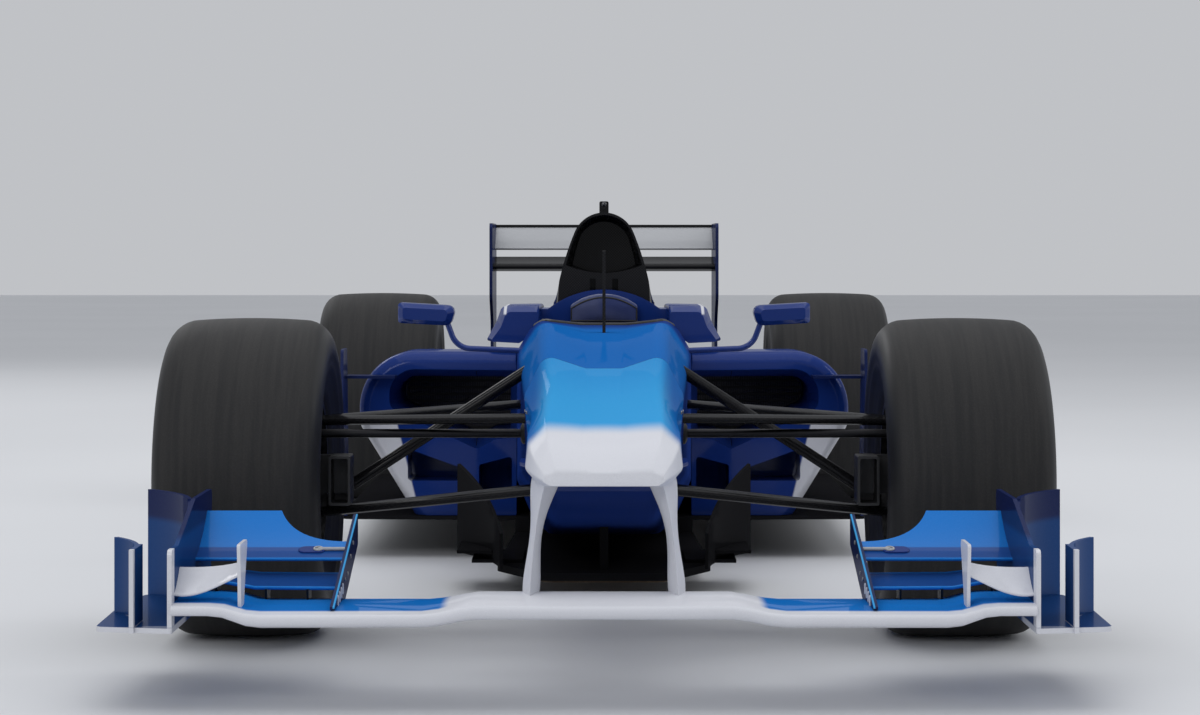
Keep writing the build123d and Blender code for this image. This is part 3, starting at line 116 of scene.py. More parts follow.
class Finish:
    """A Principled material with short ways to add the nodes that drive it."""

    def __init__(self, name, metallic=0.0, coat=0.0, coat_roughness=0.06):
        self.material = bpy.data.materials.new(name)
        self.material.use_nodes = True
        self.tree = self.material.node_tree
        self.shader = self.tree.nodes["Principled BSDF"]
        self.drive(Metallic=metallic, Coat_Weight=coat, Coat_Roughness=coat_roughness)
        self.place = self.node("ShaderNodeTexCoord").outputs["Object"]

    def node(self, kind, settings=(), **inputs):
        made = self.tree.nodes.new(kind)
        for key, value in settings:
            setattr(made, key, value)
        for key, value in inputs.items():
            self.feed(made.inputs[key.replace("_", " ")], value)
        return made

    def feed(self, socket, value):
        """Links what varies to the socket, or sets the socket's own value."""
        if isinstance(value, Share):
            value = value.socket
        if isinstance(value, bpy.types.NodeSocket):
            self.tree.links.new(value, socket)
        elif socket.type == "RGBA":
            socket.default_value = (*value, 1)
        else:
            socket.default_value = value

    def drive(self, **sockets):
        for key, value in sockets.items():
            self.feed(self.shader.inputs[key.replace("_", " ")], value)

    def axes(self, vector=None):
        """The x, y and z of a position."""
        made = self.node("ShaderNodeSeparateXYZ", Vector=vector or self.place)
        return [Share(self, part) for part in made.outputs]

    def axes_behind(self, node):
        """Distance from the middle plane, distance behind the front of a node's box, and height."""
        x, y, z = self.axes()
        return abs(x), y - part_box(node)[0].y, z

    def point(self, x, y=0.0, z=0.0):
        return self.node("ShaderNodeCombineXYZ", X=x, Y=y, Z=z).outputs[0]

    def stretched(self, scale):
        """The position with each axis scaled."""
        return self.node("ShaderNodeMapping", Vector=self.place, Scale=scale).outputs[0]

    def noise(self, scale, detail, vector=None):
        made = self.node("ShaderNodeTexNoise", Vector=vector or self.place, Scale=scale, Detail=detail)
        return Share(self, made.outputs[0])

    def mix(self, share, first, second):
        made = self.node("ShaderNodeMix", [("data_type", "RGBA")], Factor=share)
        self.feed(made.inputs[6], first)
        self.feed(made.inputs[7], second)
        return made.outputs[2]

    def look(self, colour, roughness, relief=None, depth=0.0):
        """Sets colour, roughness and a relief of depth metres, and gives the material."""
        self.drive(Base_Color=colour, Roughness=roughness)
        if relief:
            bump = self.node("ShaderNodeBump", Height=relief, Distance=depth, Strength=1.0)
            self.drive(Normal=bump.outputs[0])
        return self.material


# Paints


def painted(finish, colour):
    """Gloss paint under lacquer: fine flake, faint tone drift and a trace of orange peel."""
    finish.drive(Specular_IOR_Level=0.0)
    flake = finish.noise(900, 0)
    tone = ((flake + finish.noise(2.2, 1)) * 0.3).fade(0.2, 0.4)
    colour = finish.mix(tone, finish.mix(0.08, colour, BLACK), finish.mix(0.015, colour, WHITE))
    return finish.look(colour, flake.fade(0.3, 0.7, 0.28, 0.40), finish.noise(260, 1), 0.00003)


def plain_paint(name, colour, metallic=0.0, coat=0.45):
    return painted(Finish(name, metallic, coat), colour)


def nose_paint():
    """Pearl tip and pylons, then sky blue that deepens up the nose and down its flanks; the sky blue along
    the top is partly the paint's own tone and partly a painted highlight.
    """
    finish = Finish("nose_paint", coat=0.12)
    x, y, z = finish.axes_behind("monocoque")
    above_pylons = z.fade(0.375, 0.392).math("MAXIMUM", y.fade(-0.23, -0.16))
    blue = (y + x * x * 1.6).fade(-0.425, -0.345) * above_pylons
    # Sky-blue band along the top, narrowed to nose blue at the sides: partly the paint's own lighter blue,
    # partly a painted highlight
    top = finish.mix(y.fade(-0.25, 0.08), SKY_BLUE_AND_HIGHLIGHT, finish.mix(0.35, SKY_BLUE_AND_HIGHLIGHT, NOSE_BLUE))
    top = finish.mix(x.fade(0.105, 0.140), top, NOSE_BLUE)
    top = finish.mix(z.fade(0.400, 0.455), ROYAL_BLUE, top)
    return painted(finish, finish.mix(blue, PEARL, top))


def tub_paint():
    """Blue top that runs into royal blue flanks and cockpit, with a dark seam at the nose."""
    finish = Finish("tub_paint", coat=0.06)
    _, y, z = finish.axes_behind("monocoque")
    top = (z - y * 0.06).fade(0.483, 0.553) * y.fade(1.35, 0.65)
    seam = y.band(-0.001, 0.0015, 0.0004)
    return painted(finish, finish.mix(seam, finish.mix(top, ROYAL_BLUE, NOSE_BLUE), CARBON_DARK))


def pod_paint():
    """Royal blue with a pearl flash that tapers back along the undercut, and a panel seam."""
    finish = Finish("pod_paint", 0.1, 0.3)
    x, y, z = finish.axes_behind("sidepod_left")
    below = (y * -0.20 + 0.374 - z).fade(-0.003, 0.003)
    above = (z - (y * 0.045 + 0.1436)).fade(-0.003, 0.003)
    outside = (x - z * 0.25).fade(0.450, 0.456)
    seam = x.band(0.3340, 0.3358, 0.0003) * y.fade(0.032, 0.036)
    colour = finish.mix(below * above * outside, ROYAL_BLUE, PEARL)
    return painted(finish, finish.mix(seam, colour, CARBON_DARK))


def shoulder_paint():
    """Royal blue cockpit sides with a pale line along each upper edge, a painted highlight."""
    finish = Finish("shoulder_paint", 0.1, 0.3)
    x, _, z = finish.axes_behind("cockpit_surround")
    # Pale pearl line along each upper edge: a painted highlight
    line = x.band(0.256, 0.264, 0.0015) * z.fade(0.628, 0.634)
    return painted(finish, finish.mix(line, ROYAL_BLUE, PEARL))


def cover_paint():
    """Royal blue engine cover with a seam along its spine's foot."""
    finish = Finish("cover_paint", 0.1, 0.3)
    _, y, z = finish.axes_behind("engine_cover")
    seam = (z + y * 0.12).band(0.5375, 0.5393, 0.0003)
    return painted(finish, finish.mix(seam, ROYAL_BLUE, CARBON_DARK))


def main_plane_paint():
    """Pearl leading edge and middle, bright blue upper face at the sides."""
    finish = Finish("main_plane_paint", coat=0.3)
    x, y, z = finish.axes_behind("front_wing_main_plane")
    upper = x.fade(0.27, 0.29) * y.fade(0.034, 0.048) * z.fade(0.160, 0.164)
    return painted(finish, finish.mix(upper, PEARL, WING_BLUE))


def flap_paint():
    """Bright blue flaps with a deep blue band behind each leading edge."""
    finish = Finish("flap_paint", 0.2, 0.2)
    _, y, z = finish.axes_behind("front_wing_flaps")
    deep = finish.mix(0.25, ROYAL_BLUE, WING_BLUE)
    high = finish.mix(y.band(0.091, 0.137, 0.003), WING_BLUE, deep)
    low = finish.mix(y.band(0.004, 0.102, 0.002), WING_BLUE, deep)
    return painted(finish, finish.mix(z.fade(0.222, 0.228), low, high))


def endplate_paint():
    """Satin navy panels with pearl leading strips and a pale edge round the foot."""
    finish = Finish("endplate_paint", 0.2, 0.12)
    x, y, z = finish.axes_behind("front_wing_main_plane")
    level = finish.axes(finish.node("ShaderNodeNewGeometry").outputs["Normal"])[2]
    fence = x.fade(0.800, 0.810) * y.fade(0.028, 0.034)
    strip = y.fade(0.048, 0.044) * z.fade(0.144, 0.149) * (1 - fence)
    foot = z.fade(0.149, 0.146) * abs(level).fade(0.6, 0.4) * y.fade(0.20, 0.16)
    panel = finish.mix(z.fade(0.285, 0.30), finish.mix(0.22, NAVY, WING_BLUE), NAVY)
    return painted(finish, finish.mix(strip.math("MAXIMUM", foot), panel, PEARL))


def strake_paint():
    """Navy fences with a painted highlight, a thin bright line, along the upper edge of their inner faces.
    """
    finish = Finish("strake_paint", 0.2, 0.2)
    x, y, z = finish.axes_behind("front_wing_main_plane")
    # Thin sky-blue line along the upper edge of the inner face: a painted highlight
    edge = (z - (y * 0.252 + 0.1712)).fade(-0.004, -0.003)
    return painted(finish, finish.mix(edge * x.fade(0.4735, 0.4725), NAVY, SKY_BLUE_AND_HIGHLIGHT))


# Bare materials


def shade(colour, share):
    return tuple(share * part for part in colour)


def polar(y, z):
    """Distance from a wheel's axis, and the angle round it."""
    return (y * y + z * z).math("SQRT"), y.math("ARCTAN2", z)


def carbon(name, gloss):
    """Bare carbon cloth: a small two-tone weave with relief under resin."""
    finish = Finish(name, coat=gloss, coat_roughness=0.15)
    finish.drive(Specular_IOR_Level=0.0)
    weave = finish.node("ShaderNodeTexChecker", Vector=finish.place, Scale=260.0).outputs["Fac"]
    thread = finish.noise(160, 1, finish.stretched((1, 4, 4)))
    tone = finish.mix(thread.fade(0.3, 0.7), CARBON_PALE, finish.mix(0.4, CARBON_PALE, CARBON_DARK))
    rough = finish.noise(25, 3).fade(0.3, 0.7, 0.38, 0.54)
    return finish.look(finish.mix(weave, CARBON_DARK, tone), rough, weave, 0.00003)


def metal(name, colour, roughness, grain=(1, 1, 1)):
    """Bare metal with fine marks stretched along one axis by grain."""
    finish = Finish(name, metallic=1.0)
    marks = finish.noise(140, 3, finish.stretched(grain))
    rough = marks.fade(0.2, 0.8, roughness - 0.08, roughness + 0.12)
    return finish.look(finish.mix(marks, shade(colour, 0.65), colour), rough, marks, 0.00004)


def mottled(name, dark, pale, patches, rough, grain, spread=(0.3, 0.7), depth=0.00006, metallic=0.0):
    """Two tones and two roughnesses in patches, over a fine grain in relief.

    patches and grain are each a noise's scale and detail; spread is where the patches change tone.
    """
    finish = Finish(name, metallic)
    patch = finish.noise(*patches)
    colour = finish.mix(patch.fade(*spread), dark, pale)
    return finish.look(colour, patch.fade(0.3, 0.7, *rough), finish.noise(*grain), depth)


def cast_metal(name, colour):
    """Cast or machined case."""
    return mottled(name, shade(colour, 0.7), colour, (26, 4), (0.42, 0.62), (420, 2), metallic=0.85)


def plastic(name, colour):
    """Moulded plastic with a fine spark-eroded grain."""
    return mottled(name, shade(colour, 0.8), colour, (1400, 1), (0.34, 0.52), (1400, 1))


def disc_carbon(name, axle):
    """Brake disc and hub: dark grey rings worn round the axle, with rows of cooling holes painted near-black
    as painted shade inside them, sunk in relief.
    """
    finish = Finish(name, metallic=0.4)
    _, y, z = finish.axes()
    radius, around = polar(y - axle.y, z - axle.z)
    rings = finish.noise(1, 3, finish.point(radius * 900))
    dark = finish.mix(rings.fade(0.3, 0.7), (0.035, 0.035, 0.037), (0.085, 0.084, 0.082))
    rows = (radius * 62).zigzag(0.5).fade(0.36, 0.42) * radius.fade(0.066, 0.07)
    # The holes' near-black colour is painted shade standing in for their depth
    holes = rows * (around * (36 / math.pi)).zigzag(0.5).fade(0.30, 0.36)
    return finish.look(finish.mix(holes, dark, (0.006, 0.006, 0.006)), 0.5, 1 - holes, 0.002)


def heat_tinted_pipe():
    """Steel pipe that turns straw and blue towards its hot end."""
    finish = Finish("heat_tinted_pipe", metallic=1.0)
    y = finish.axes_behind("exhausts")[1] + finish.noise(30, 2) * 0.02
    straw = finish.mix(y.fade(0.05, 0.11), (0.5, 0.47, 0.43), (0.42, 0.27, 0.13))
    blue = finish.mix(y.fade(0.12, 0.17), straw, (0.10, 0.10, 0.22))
    return finish.look(blue, finish.noise(90, 3).fade(0.3, 0.7, 0.22, 0.42))


def laminated_board():
    """Skid plank: pressed wood layers with scrapes along the car."""
    finish = Finish("laminated_board")
    grain = finish.noise(18, 5, finish.stretched((14, 0.6, 30)))
    scrape = finish.noise(60, 2, finish.stretched((6, 0.25, 1))).fade(0.56, 0.66)
    wood = finish.mix(grain, (0.07, 0.042, 0.024), (0.21, 0.13, 0.07))
    colour = finish.mix(scrape, wood, (0.30, 0.22, 0.14))
    return finish.look(colour, grain.fade(0, 1, 0.45, 0.75), grain, 0.0003)


def cooler_core():
    """Dark fins and tubes of a radiator, darker between the fins as painted shade."""
    finish = Finish("cooler_core", metallic=0.8)
    x, _, z = finish.axes()
    # Fin ramp: pale at each fin's middle, dark between fins, the dark being painted shade in the gaps
    fins = (x * 420).zigzag()
    tubes = (z * 110).zigzag().fade(0.55, 0.75)
    tone = finish.mix(fins, (0.012, 0.012, 0.014), (0.10, 0.10, 0.11))
    colour = finish.mix(tubes, tone, (0.02, 0.02, 0.022))
    return finish.look(colour, 0.5, fins.math("MAXIMUM", tubes), 0.0008)


def red_lens():
    """Rain light lens moulded in small prisms."""
    finish = Finish("red_lens", coat=0.6)
    x, _, z = finish.axes()
    prism = (x * 150).zigzag() * (z * 150).zigzag()
    colour = finish.mix(prism, (0.20, 0.002, 0.004), (0.62, 0.02, 0.02))
    return finish.look(colour, 0.12, prism, 0.0006)


def mirror_face():
    """Mirror glass with faint smears."""
    finish = Finish("mirror_face", metallic=1.0)
    return finish.look((0.86, 0.88, 0.9), finish.noise(22, 3).fade(0.45, 0.8, 0.01, 0.09))


def dark_glass():
    """Black glass of the display and the camera, with faint finger marks."""
    finish = Finish("dark_glass", coat=0.8)
    smear = finish.noise(60, 3)
    colour = finish.mix(smear, (0.004, 0.005, 0.008), (0.012, 0.016, 0.024))
    return finish.look(colour, smear.fade(0.4, 0.7, 0.05, 0.16))


def padding(name, colour):
    """Knitted synthetic cover: a fine weave with soft sheen."""
    finish = Finish(name)
    finish.drive(Sheen_Weight=0.3)
    x, y, z = finish.axes()
    knit = ((x * 2600).math("SINE") * ((y + z) * 2600).math("SINE")).fade(-1, 1)
    worn = finish.mix(finish.noise(9, 2).fade(0.35, 0.7), colour, finish.mix(0.05, colour, WHITE))
    return finish.look(finish.mix(knit, finish.mix(0.3, worn, BLACK), worn), 0.8, knit, 0.0003)


def webbing():
    """Harness tape: ribs woven along the strap, with a paler worn nap."""
    finish = Finish("webbing")
    finish.drive(Sheen_Weight=0.25)
    x, y, z = finish.axes()
    cloth = (x * 520).zigzag() * ((y + z) * 900).zigzag().fade(0, 1, 0.6, 1.0)
    nap = finish.noise(30, 3).fade(0.4, 0.75)
    blue = finish.mix(nap, (0.010, 0.030, 0.16), (0.022, 0.050, 0.21))
    return finish.look(finish.mix(cloth, finish.mix(0.5, blue, BLACK), blue), 0.75, cloth, 0.0004)


def rubber():
    """Slick tyre, in the tyre's own axes: matt scuffed tread, smoother darker walls."""
    finish = Finish("slick_rubber")
    finish.drive(Specular_IOR_Level=0.2)
    x, y, z = finish.axes()
    radius, around = polar(y, z)
    streaks = finish.noise(1.6, 3, finish.point(x * 60, around, radius))
    grain = finish.noise(330, 2)
    tread = radius.fade(0.296, 0.318)
    scuffed = finish.mix(streaks.fade(0.3, 0.75), (0.023, 0.023, 0.024), (0.033, 0.032, 0.032))
    scuffed = finish.mix(grain.fade(0.4, 0.7), finish.mix(0.15, scuffed, BLACK), scuffed)
    wall = finish.mix(finish.noise(9, 3).fade(0.3, 0.7), (0.012, 0.012, 0.013), (0.018, 0.018, 0.019))
    return finish.look(finish.mix(tread, wall, scuffed), tread.fade(0, 1, 0.45, 0.62), grain, 0.00012)


def trim_rubber():
    """Black moulded edging with dusty wear."""
    dark, dusty = (0.010, 0.010, 0.011), (0.028, 0.028, 0.029)
    return mottled("trim_rubber", dark, dusty, (50, 4), (0.5, 0.7), (700, 1), (0.45, 0.75))


def satin_rim():
    """Dark satin wheel with brighter worn patches."""
    dark, worn = (0.022, 0.022, 0.024), (0.05, 0.05, 0.054)
    return mottled("satin_rim", dark, worn, (70, 4), (0.28, 0.46), (500, 1), (0.4, 0.75), 0.00003, 0.75)


def floor_finish():
    """Pale studio floor with a faint drift of tone."""
    finish = Finish("studio_floor")
    finish.drive(Specular_IOR_Level=0.1)
    drift = finish.noise(0.35, 2).fade(0.3, 0.7)
    return finish.look(finish.mix(drift, (0.71, 0.72, 0.74), (0.73, 0.74, 0.76)), 0.85)


# Finish of each CAD node

dry_carbon = carbon("dry_carbon", 0.03)
gloss_carbon = carbon("gloss_carbon", 0.3)
black_metal = metal("black_metal", (0.030, 0.030, 0.033), 0.4)
steel = metal("steel", (0.36, 0.36, 0.37), 0.32)
titanium = metal("titanium", (0.30, 0.28, 0.26), 0.36, (30, 1, 1))
blue_anodised = metal("blue_anodised", (0.012, 0.075, 0.40), 0.28)
case_metal = cast_metal("case_metal", (0.20, 0.20, 0.21))
upright_metal = cast_metal("upright_metal", (0.055, 0.055, 0.058))
navy = plain_paint("navy_paint", NAVY, 0.2, 0.2)
pearl = plain_paint("pearl_paint", PEARL)
satin = plain_paint("satin_paint", SATIN_GREY, 0.3, 0.25)
royal = plain_paint("royal_paint", ROYAL_BLUE, 0.1)
rim_finish = satin_rim()
tyre_rubber = rubber()
trim = trim_rubber()
lens = red_lens()
glass = dark_glass()
pad_cloth = padding("pad_cloth", (0.010, 0.028, 0.15))
strap_cloth = webbing()

# columns: finish, the nodes that have it
finished_nodes = (
    (nose_paint(), "nose_cone"),
    (tub_paint(), "monocoque"),
    (cover_paint(), "engine_cover"),
    (shoulder_paint(), "cockpit_surround"),
    (pod_paint(), "sidepod_left sidepod_right"),
    (main_plane_paint(), "front_wing_main_plane"),
    (flap_paint(), "front_wing_flaps"),
    (endplate_paint(), "front_wing_endplates"),
    (strake_paint(), "front_wing_strakes"),
    (pearl, "front_wing_cascades"),
    (satin, "rear_wing_flap"),
    (navy, "rear_wing_endplates pod_vanes"),
    (royal, "mirrors"),
    (mirror_face(), "mirror_glass"),
    (heat_tinted_pipe(), "exhausts"),
    (laminated_board(), "skid_plank"),
    (cooler_core(), "radiators"),
    (lens, "rain_light"),
    (pad_cloth, "head_pad"),
    (case_metal, "engine_block gearbox"),
    (upright_metal, "front_upright_left front_upright_right rear_uprights"),
    (black_metal, "track_rods steering_column steering_wheel"),
    (dry_carbon, "floor diffuser bargeboards splitter_stay seat rear_beam_wing"),
    (gloss_carbon, "roll_hoop camera_pod rear_wing_main_plane rear_crash_structure antenna"),
    (gloss_carbon, "front_pushrods front_upper_wishbones front_lower_wishbones"),
    (gloss_carbon, "rear_upper_wishbones rear_lower_wishbones"),
)
node_finish = {node: finish for finish, names in finished_nodes for node in names.split()}
for end in ("front", "rear"):
    low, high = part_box("rim_" + end + "_left")
    disc_finish = disc_carbon(end + "_disc", (low + high) / 2)
    for wheel in (end + "_left", end + "_right"):
        node_finish["hub_" + wheel] = disc_finish
        node_finish["rim_" + wheel] = rim_finish
        node_finish["tyre_" + wheel] = tyre_rubber


WELD_DISTANCE = 0.00002


def smooth_by_angle(limit_deg):
    """Geometry nodes that weld a mesh and shade it smooth up to an edge angle."""
    group = bpy.data.node_groups.new("smooth_by_angle", "GeometryNodeTree")
    for way in ("INPUT", "OUTPUT"):
        group.interface.new_socket("Geometry", in_out=way, socket_type="NodeSocketGeometry")
    new, link = group.nodes.new, group.links.new
    kinds = ("RemoveAttribute", "MergeByDistance", "SetShadeSmooth", "SetShadeSmooth")
    plain, weld, soft, sharp = [new("GeometryNode" + kind) for kind in kinds]
    plain.inputs["Name"].default_value = "custom_normal"
    weld.inputs["Distance"].default_value = WELD_DISTANCE
    sharp.domain = "EDGE"
    sharp.inputs["Shade Smooth"].default_value = False
    angle = new("GeometryNodeInputMeshEdgeAngle")
    over = new("FunctionNodeCompare")
    over.operation = "GREATER_THAN"
    over.inputs["B"].default_value = math.radians(limit_deg)
    chain = (new("NodeGroupInput"), plain, weld, soft, sharp, new("NodeGroupOutput"))
    for near, far in zip(chain, chain[1:]):
        link(near.outputs[0], far.inputs[0])
    link(angle.outputs["Unsigned Angle"], over.inputs["A"])
    link(over.outputs[0], sharp.inputs["Selection"])
    return group


SMOOTHING = smooth_by_angle(27)
SOFT_SMOOTHING = smooth_by_angle(70)


def shade_smooth(obj, group=SMOOTHING):
    """Smooth shading, which leaves flat faces flat unless the soft group is used."""
    obj.modifiers.new("smooth", "NODES").node_group = group
    if group != SOFT_SMOOTHING:
        obj.modifiers.new("weighted", "WEIGHTED_NORMAL").keep_sharp = True


def dress(obj, material):
    obj.data.materials.clear()
    obj.data.materials.append(material)


for name, obj in nodes.items():
    for slot in obj.material_slots:
        slot.link = "OBJECT"
        slot.material = node_finish[name]
    shade_smooth(obj, SOFT_SMOOTHING if name in ("nose_cone", "monocoque") else SMOOTHING)


# Mesh forms


def facing(at, direction):
    """Placement at a point whose Z axis lies along direction."""
    return Matrix.Translation(at) @ Vector(direction).to_track_quat("Z", "Y").to_matrix().to_4x4()


def polygon(sides, radius):
    turns = [2 * math.pi * i / sides for i in range(sides)]
    return [(radius * math.cos(turn), radius * math.sin(turn)) for turn in turns]


def rectangle(left, low, right, high):
    return [(left, low), (right, low), (right, high), (left, high)]


def rounded_box(width, height, radius, steps=4):
    """Rectangle outline with round corners, centred."""
    points = []
    for quarter, (sx, sy) in enumerate(((1, 1), (-1, 1), (-1, -1), (1, -1))):
        for i in range(steps + 1):
            turn = math.pi / 2 * (quarter + i / steps)
            x = sx * (width / 2 - radius) + radius * math.cos(turn)
            points.append((x, sy * (height / 2 - radius) + radius * math.sin(turn)))
    return points


class Form:
    """A mesh put together from turned, raised and swept shapes."""

    def __init__(self):
        self.mesh = bmesh.new()

    def ring(self, points):
        return [self.mesh.verts.new(p) for p in points]

    def skin(self, rings, closed=False):
        """Walls between rings of as many points each, with flat ends unless they close."""
        for near, far in zip(rings, rings[1:] + (rings[:1] if closed else [])):
            for j in range(len(near)):
                k = (j + 1) % len(near)
                self.mesh.faces.new((near[j], near[k], far[k], far[j]))
        if not closed:
            self.mesh.faces.new(rings[0])
            self.mesh.faces.new(list(reversed(rings[-1])))

    def raised(self, place, outline, layers):
        """Outline of (x, y) points raised through layers of (height, share of its size)."""
        self.skin([self.ring([place @ Vector((x * s, y * s, h)) for x, y in outline]) for h, s in layers])

    def turned(self, place, profile, segments=20):
        """Solid turned round place's Z axis, from (radius, height) points."""
        self.raised(place, polygon(segments, 1.0), [(h, r) for r, h in profile])

    def hoop(self, place, profile, segments):
        """Ring of a closed profile of (radius, height) points round place's Z axis."""
        spokes = polygon(segments, 1.0)
        rings = [self.ring([place @ Vector((x * r, y * r, h)) for r, h in profile]) for x, y in spokes]
        self.skin(rings, closed=True)

    def swept(self, points, section, up=(0, 0, 1), closed=False):
        """Carries a section of (across, up) points along a path."""
        rings = []
        last = len(points) - 1
        for i, point in enumerate(points):
            before = points[i - 1] if closed or i else point
            after = points[(i + 1) % len(points)] if closed or i < last else point
            along = (after - before).normalized()
            across = along.cross(Vector(up)).normalized()
            lift = across.cross(along)
            rings.append(self.ring([point + across * u + lift * v for u, v in section]))
        self.skin(rings, closed)

    def data(self, name):
        bmesh.ops.recalc_face_normals(self.mesh, faces=self.mesh.faces)
        made = bpy.data.meshes.new(name)
        self.mesh.to_mesh(made)
        self.mesh.free()
        return made


def added(name, data):
    obj = bpy.data.objects.new(name, data)
    bpy.context.scene.collection.objects.link(obj)
    return obj


def piece(name, form, material, body="chassis", at=(0, 0, 0)):
    """Adds a form at a place in the frame, riding on a body."""
    obj = added(name, form.data(name))
    obj.location = at
    dress(obj, material)
    shade_smooth(obj)
    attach(obj, body)
    return obj


def mesh_tree(data):
    return BVHTree.FromPolygons([v.co for v in data.vertices], [p.vertices for p in data.polygons])


node_trees = {}


def on_node(node, start, direction):
    """Where a line from start first meets a node: a placement whose Z axis leaves the surface."""
    if node not in node_trees:
        node_trees[node] = mesh_tree(nodes[node].data)
    at, normal = node_trees[node].ray_cast(Vector(start), Vector(direction))[:2]
    if normal.dot(Vector(direction)) > 0:
        normal = -normal
    return facing(at, normal)


def joint(name):
    return next(found for found in frame["joints"] if found["name"] == name)


# How far outside a box a line starts that looks for a surface
OUTSIDE = 0.2
FORWARD, BACK = Vector((0, -1, 0)), Vector((0, 1, 0))
UP, DOWN = Vector((0, 0, 1)), Vector((0, 0, -1))

# Profiles of (radius, height), as shares of the head's radius
SCREW_HEAD = ((1, -0.3), (1, 0.2), (0.8, 0.45), (0.45, 0.45), (0.4, 0.1))
WASHER = ((1.3, -0.2), (1.3, 0.2), (1.2, 0.28))


def screw(form, place, radius):
    """Low round head with a socket."""
    form.turned(place, [(r * radius, h * radius) for r, h in SCREW_HEAD], 12)


def hex_bolt(form, place, radius):
    """Hexagon head on a washer."""
    form.turned(place, [(r * radius, h * radius) for r, h in WASHER], 16)
    form.raised(place, polygon(6, radius), [(0.2 * radius, 1), (0.85 * radius, 1), (radius, 0.86)])


# Wheels

TYRE_SEGMENTS = 144
SHOULDER = 0.058
CROWN = 0.004
BEAD_RADIUS = 0.1653
BEAD_INSET = 0.026
WALL_RING = 0.0022
WALL_STEPS = 12
PROUD_STEPS = (1, 2, 4, 5, 10)


def tyre_profile(width, radius):
    """Half section from the tread's middle to the bead: crowned tread, round shoulder, ringed wall."""
    tread = width / 2 - SHOULDER
    points = [(tread * i / 6, radius - CROWN * (i / 6) ** 2) for i in range(7)]
    for i in range(1, 9):
        turn = math.radians(90 * i / 8)
        points.append((tread + SHOULDER * math.sin(turn), radius - CROWN - SHOULDER * (1 - math.cos(turn))))
    top_x, top_r = points[-1]
    for i in range(1, WALL_STEPS + 1):
        share = i / WALL_STEPS
        sunk = 0.0 if i in PROUD_STEPS else WALL_RING
        points.append((top_x - BEAD_INSET * share ** 1.8 - sunk, top_r + (BEAD_RADIUS - top_r) * share))
    return points


def tyre(name):
    """Round slick in place of the faceted one."""
    node = "tyre_" + name
    low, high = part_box(node)
    half = tyre_profile(high.x - low.x, (high.z - low.z) / 2)
    profile = [(r, -x) for x, r in reversed(half[1:])] + [(r, x) for x, r in half]
    form = Form()
    form.hoop(facing((0, 0, 0), (1, 0, 0)), profile, TYRE_SEGMENTS)
    made = piece("slick_" + name, form, tyre_rubber, "wheel_" + name, (low + high) / 2)
    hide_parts(node)


NUT_INSET = 0.010
NUT_RADIUS = 0.043
NUT_DEPTH = 0.034
LIP_WIDTH = 0.012
STUD_RADIUS = 0.080
STUDS = 12


def wheel_fittings(name):
    """Centre nut, bright rim lip, valve and disc studs of one wheel."""
    low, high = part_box("rim_" + name)
    centre = (low + high) / 2
    out = Vector((math.copysign(1, centre.x), 0, 0))
    flange = centre + out * (high.x - low.x) / 2
    radius = (high.z - low.z) / 2
    body = "wheel_" + name

    nut = Form()
    end = facing(flange - out * NUT_INSET, out)
    nut.turned(end, [(0.058, -NUT_DEPTH), (0.058, 0.006 - NUT_DEPTH), (0.047, 0.012 - NUT_DEPTH)], 36)
    nut.raised(end, polygon(6, NUT_RADIUS), [(0.008 - NUT_DEPTH, 1), (-0.006, 1), (0.001, 0.86)])
    nut.turned(end, [(0.027, 0.0), (0.027, 0.006), (0.022, 0.010), (0.013, 0.010), (0.012, -0.008)], 28)
    piece("wheel_nut_" + name, nut, blue_anodised, body)

    lip = Form()
    inner, outer = radius - LIP_WIDTH, radius - 0.0004
    section = [(inner, -0.006), (inner, 0.002), (inner + 0.003, 0.005)]
    section += [(outer - 0.003, 0.006), (outer, 0.003), (outer, -0.006)]
    lip.hoop(facing(flange, out), section, 96)
    valve = facing(flange - out * 0.030 + UP * (inner - 0.006), out)
    lip.turned(valve, [(0.0045, 0.0), (0.0045, 0.016), (0.0032, 0.018), (0.0032, 0.024), (0.002, 0.026)], 12)
    piece("rim_lip_" + name, lip, steel, body)

    studs = Form()
    for y, z in polygon(STUDS, STUD_RADIUS):
        hex_bolt(studs, on_node("hub_" + name, flange + Vector((0, y, z)), -out), 0.006)
    piece("disc_studs_" + name, studs, steel, body)


for wheel in WHEELS:
    tyre(wheel)
    wheel_fittings(wheel)


# Head pad, swollen by cloth pressure

PAD_VOXEL = 0.005
PAD_SHRINK = 0.90
PAD_FRONT_INSET = 0.010
PAD_CAP = 0.010
PAD_GAP = 0.0006
PAD_PIN_DEPTH = 0.006
PAD_PRESSURE = 4.0
PAD_FRAMES = 20
PIPING_RADIUS = 0.0024
PIPING_SHARE = 0.44


def evaluated_mesh(obj):
    return bpy.data.meshes.new_from_object(obj.evaluated_get(bpy.context.evaluated_depsgraph_get()))


def pad_start(low, high):
    """The pad's solid, drawn in from its sides and front, as an even voxel mesh."""
    data = nodes["head_pad"].data.copy()
    middle = (low + high) / 2
    for vertex in data.vertices:
        vertex.co.x = middle.x + (vertex.co.x - middle.x) * PAD_SHRINK
        vertex.co.z = middle.z + (vertex.co.z - middle.z) * PAD_SHRINK
        share = (high.y - vertex.co.y) / (high.y - low.y)
        vertex.co.y = high.y - PAD_GAP - share * (high.y - low.y - PAD_FRONT_INSET)
    obj = added("head_cushion", data)
    remesh = obj.modifiers.new("voxels", "REMESH")
    remesh.voxel_size = PAD_VOXEL
    obj.data = evaluated_mesh(obj)
    obj.modifiers.clear()
    return obj


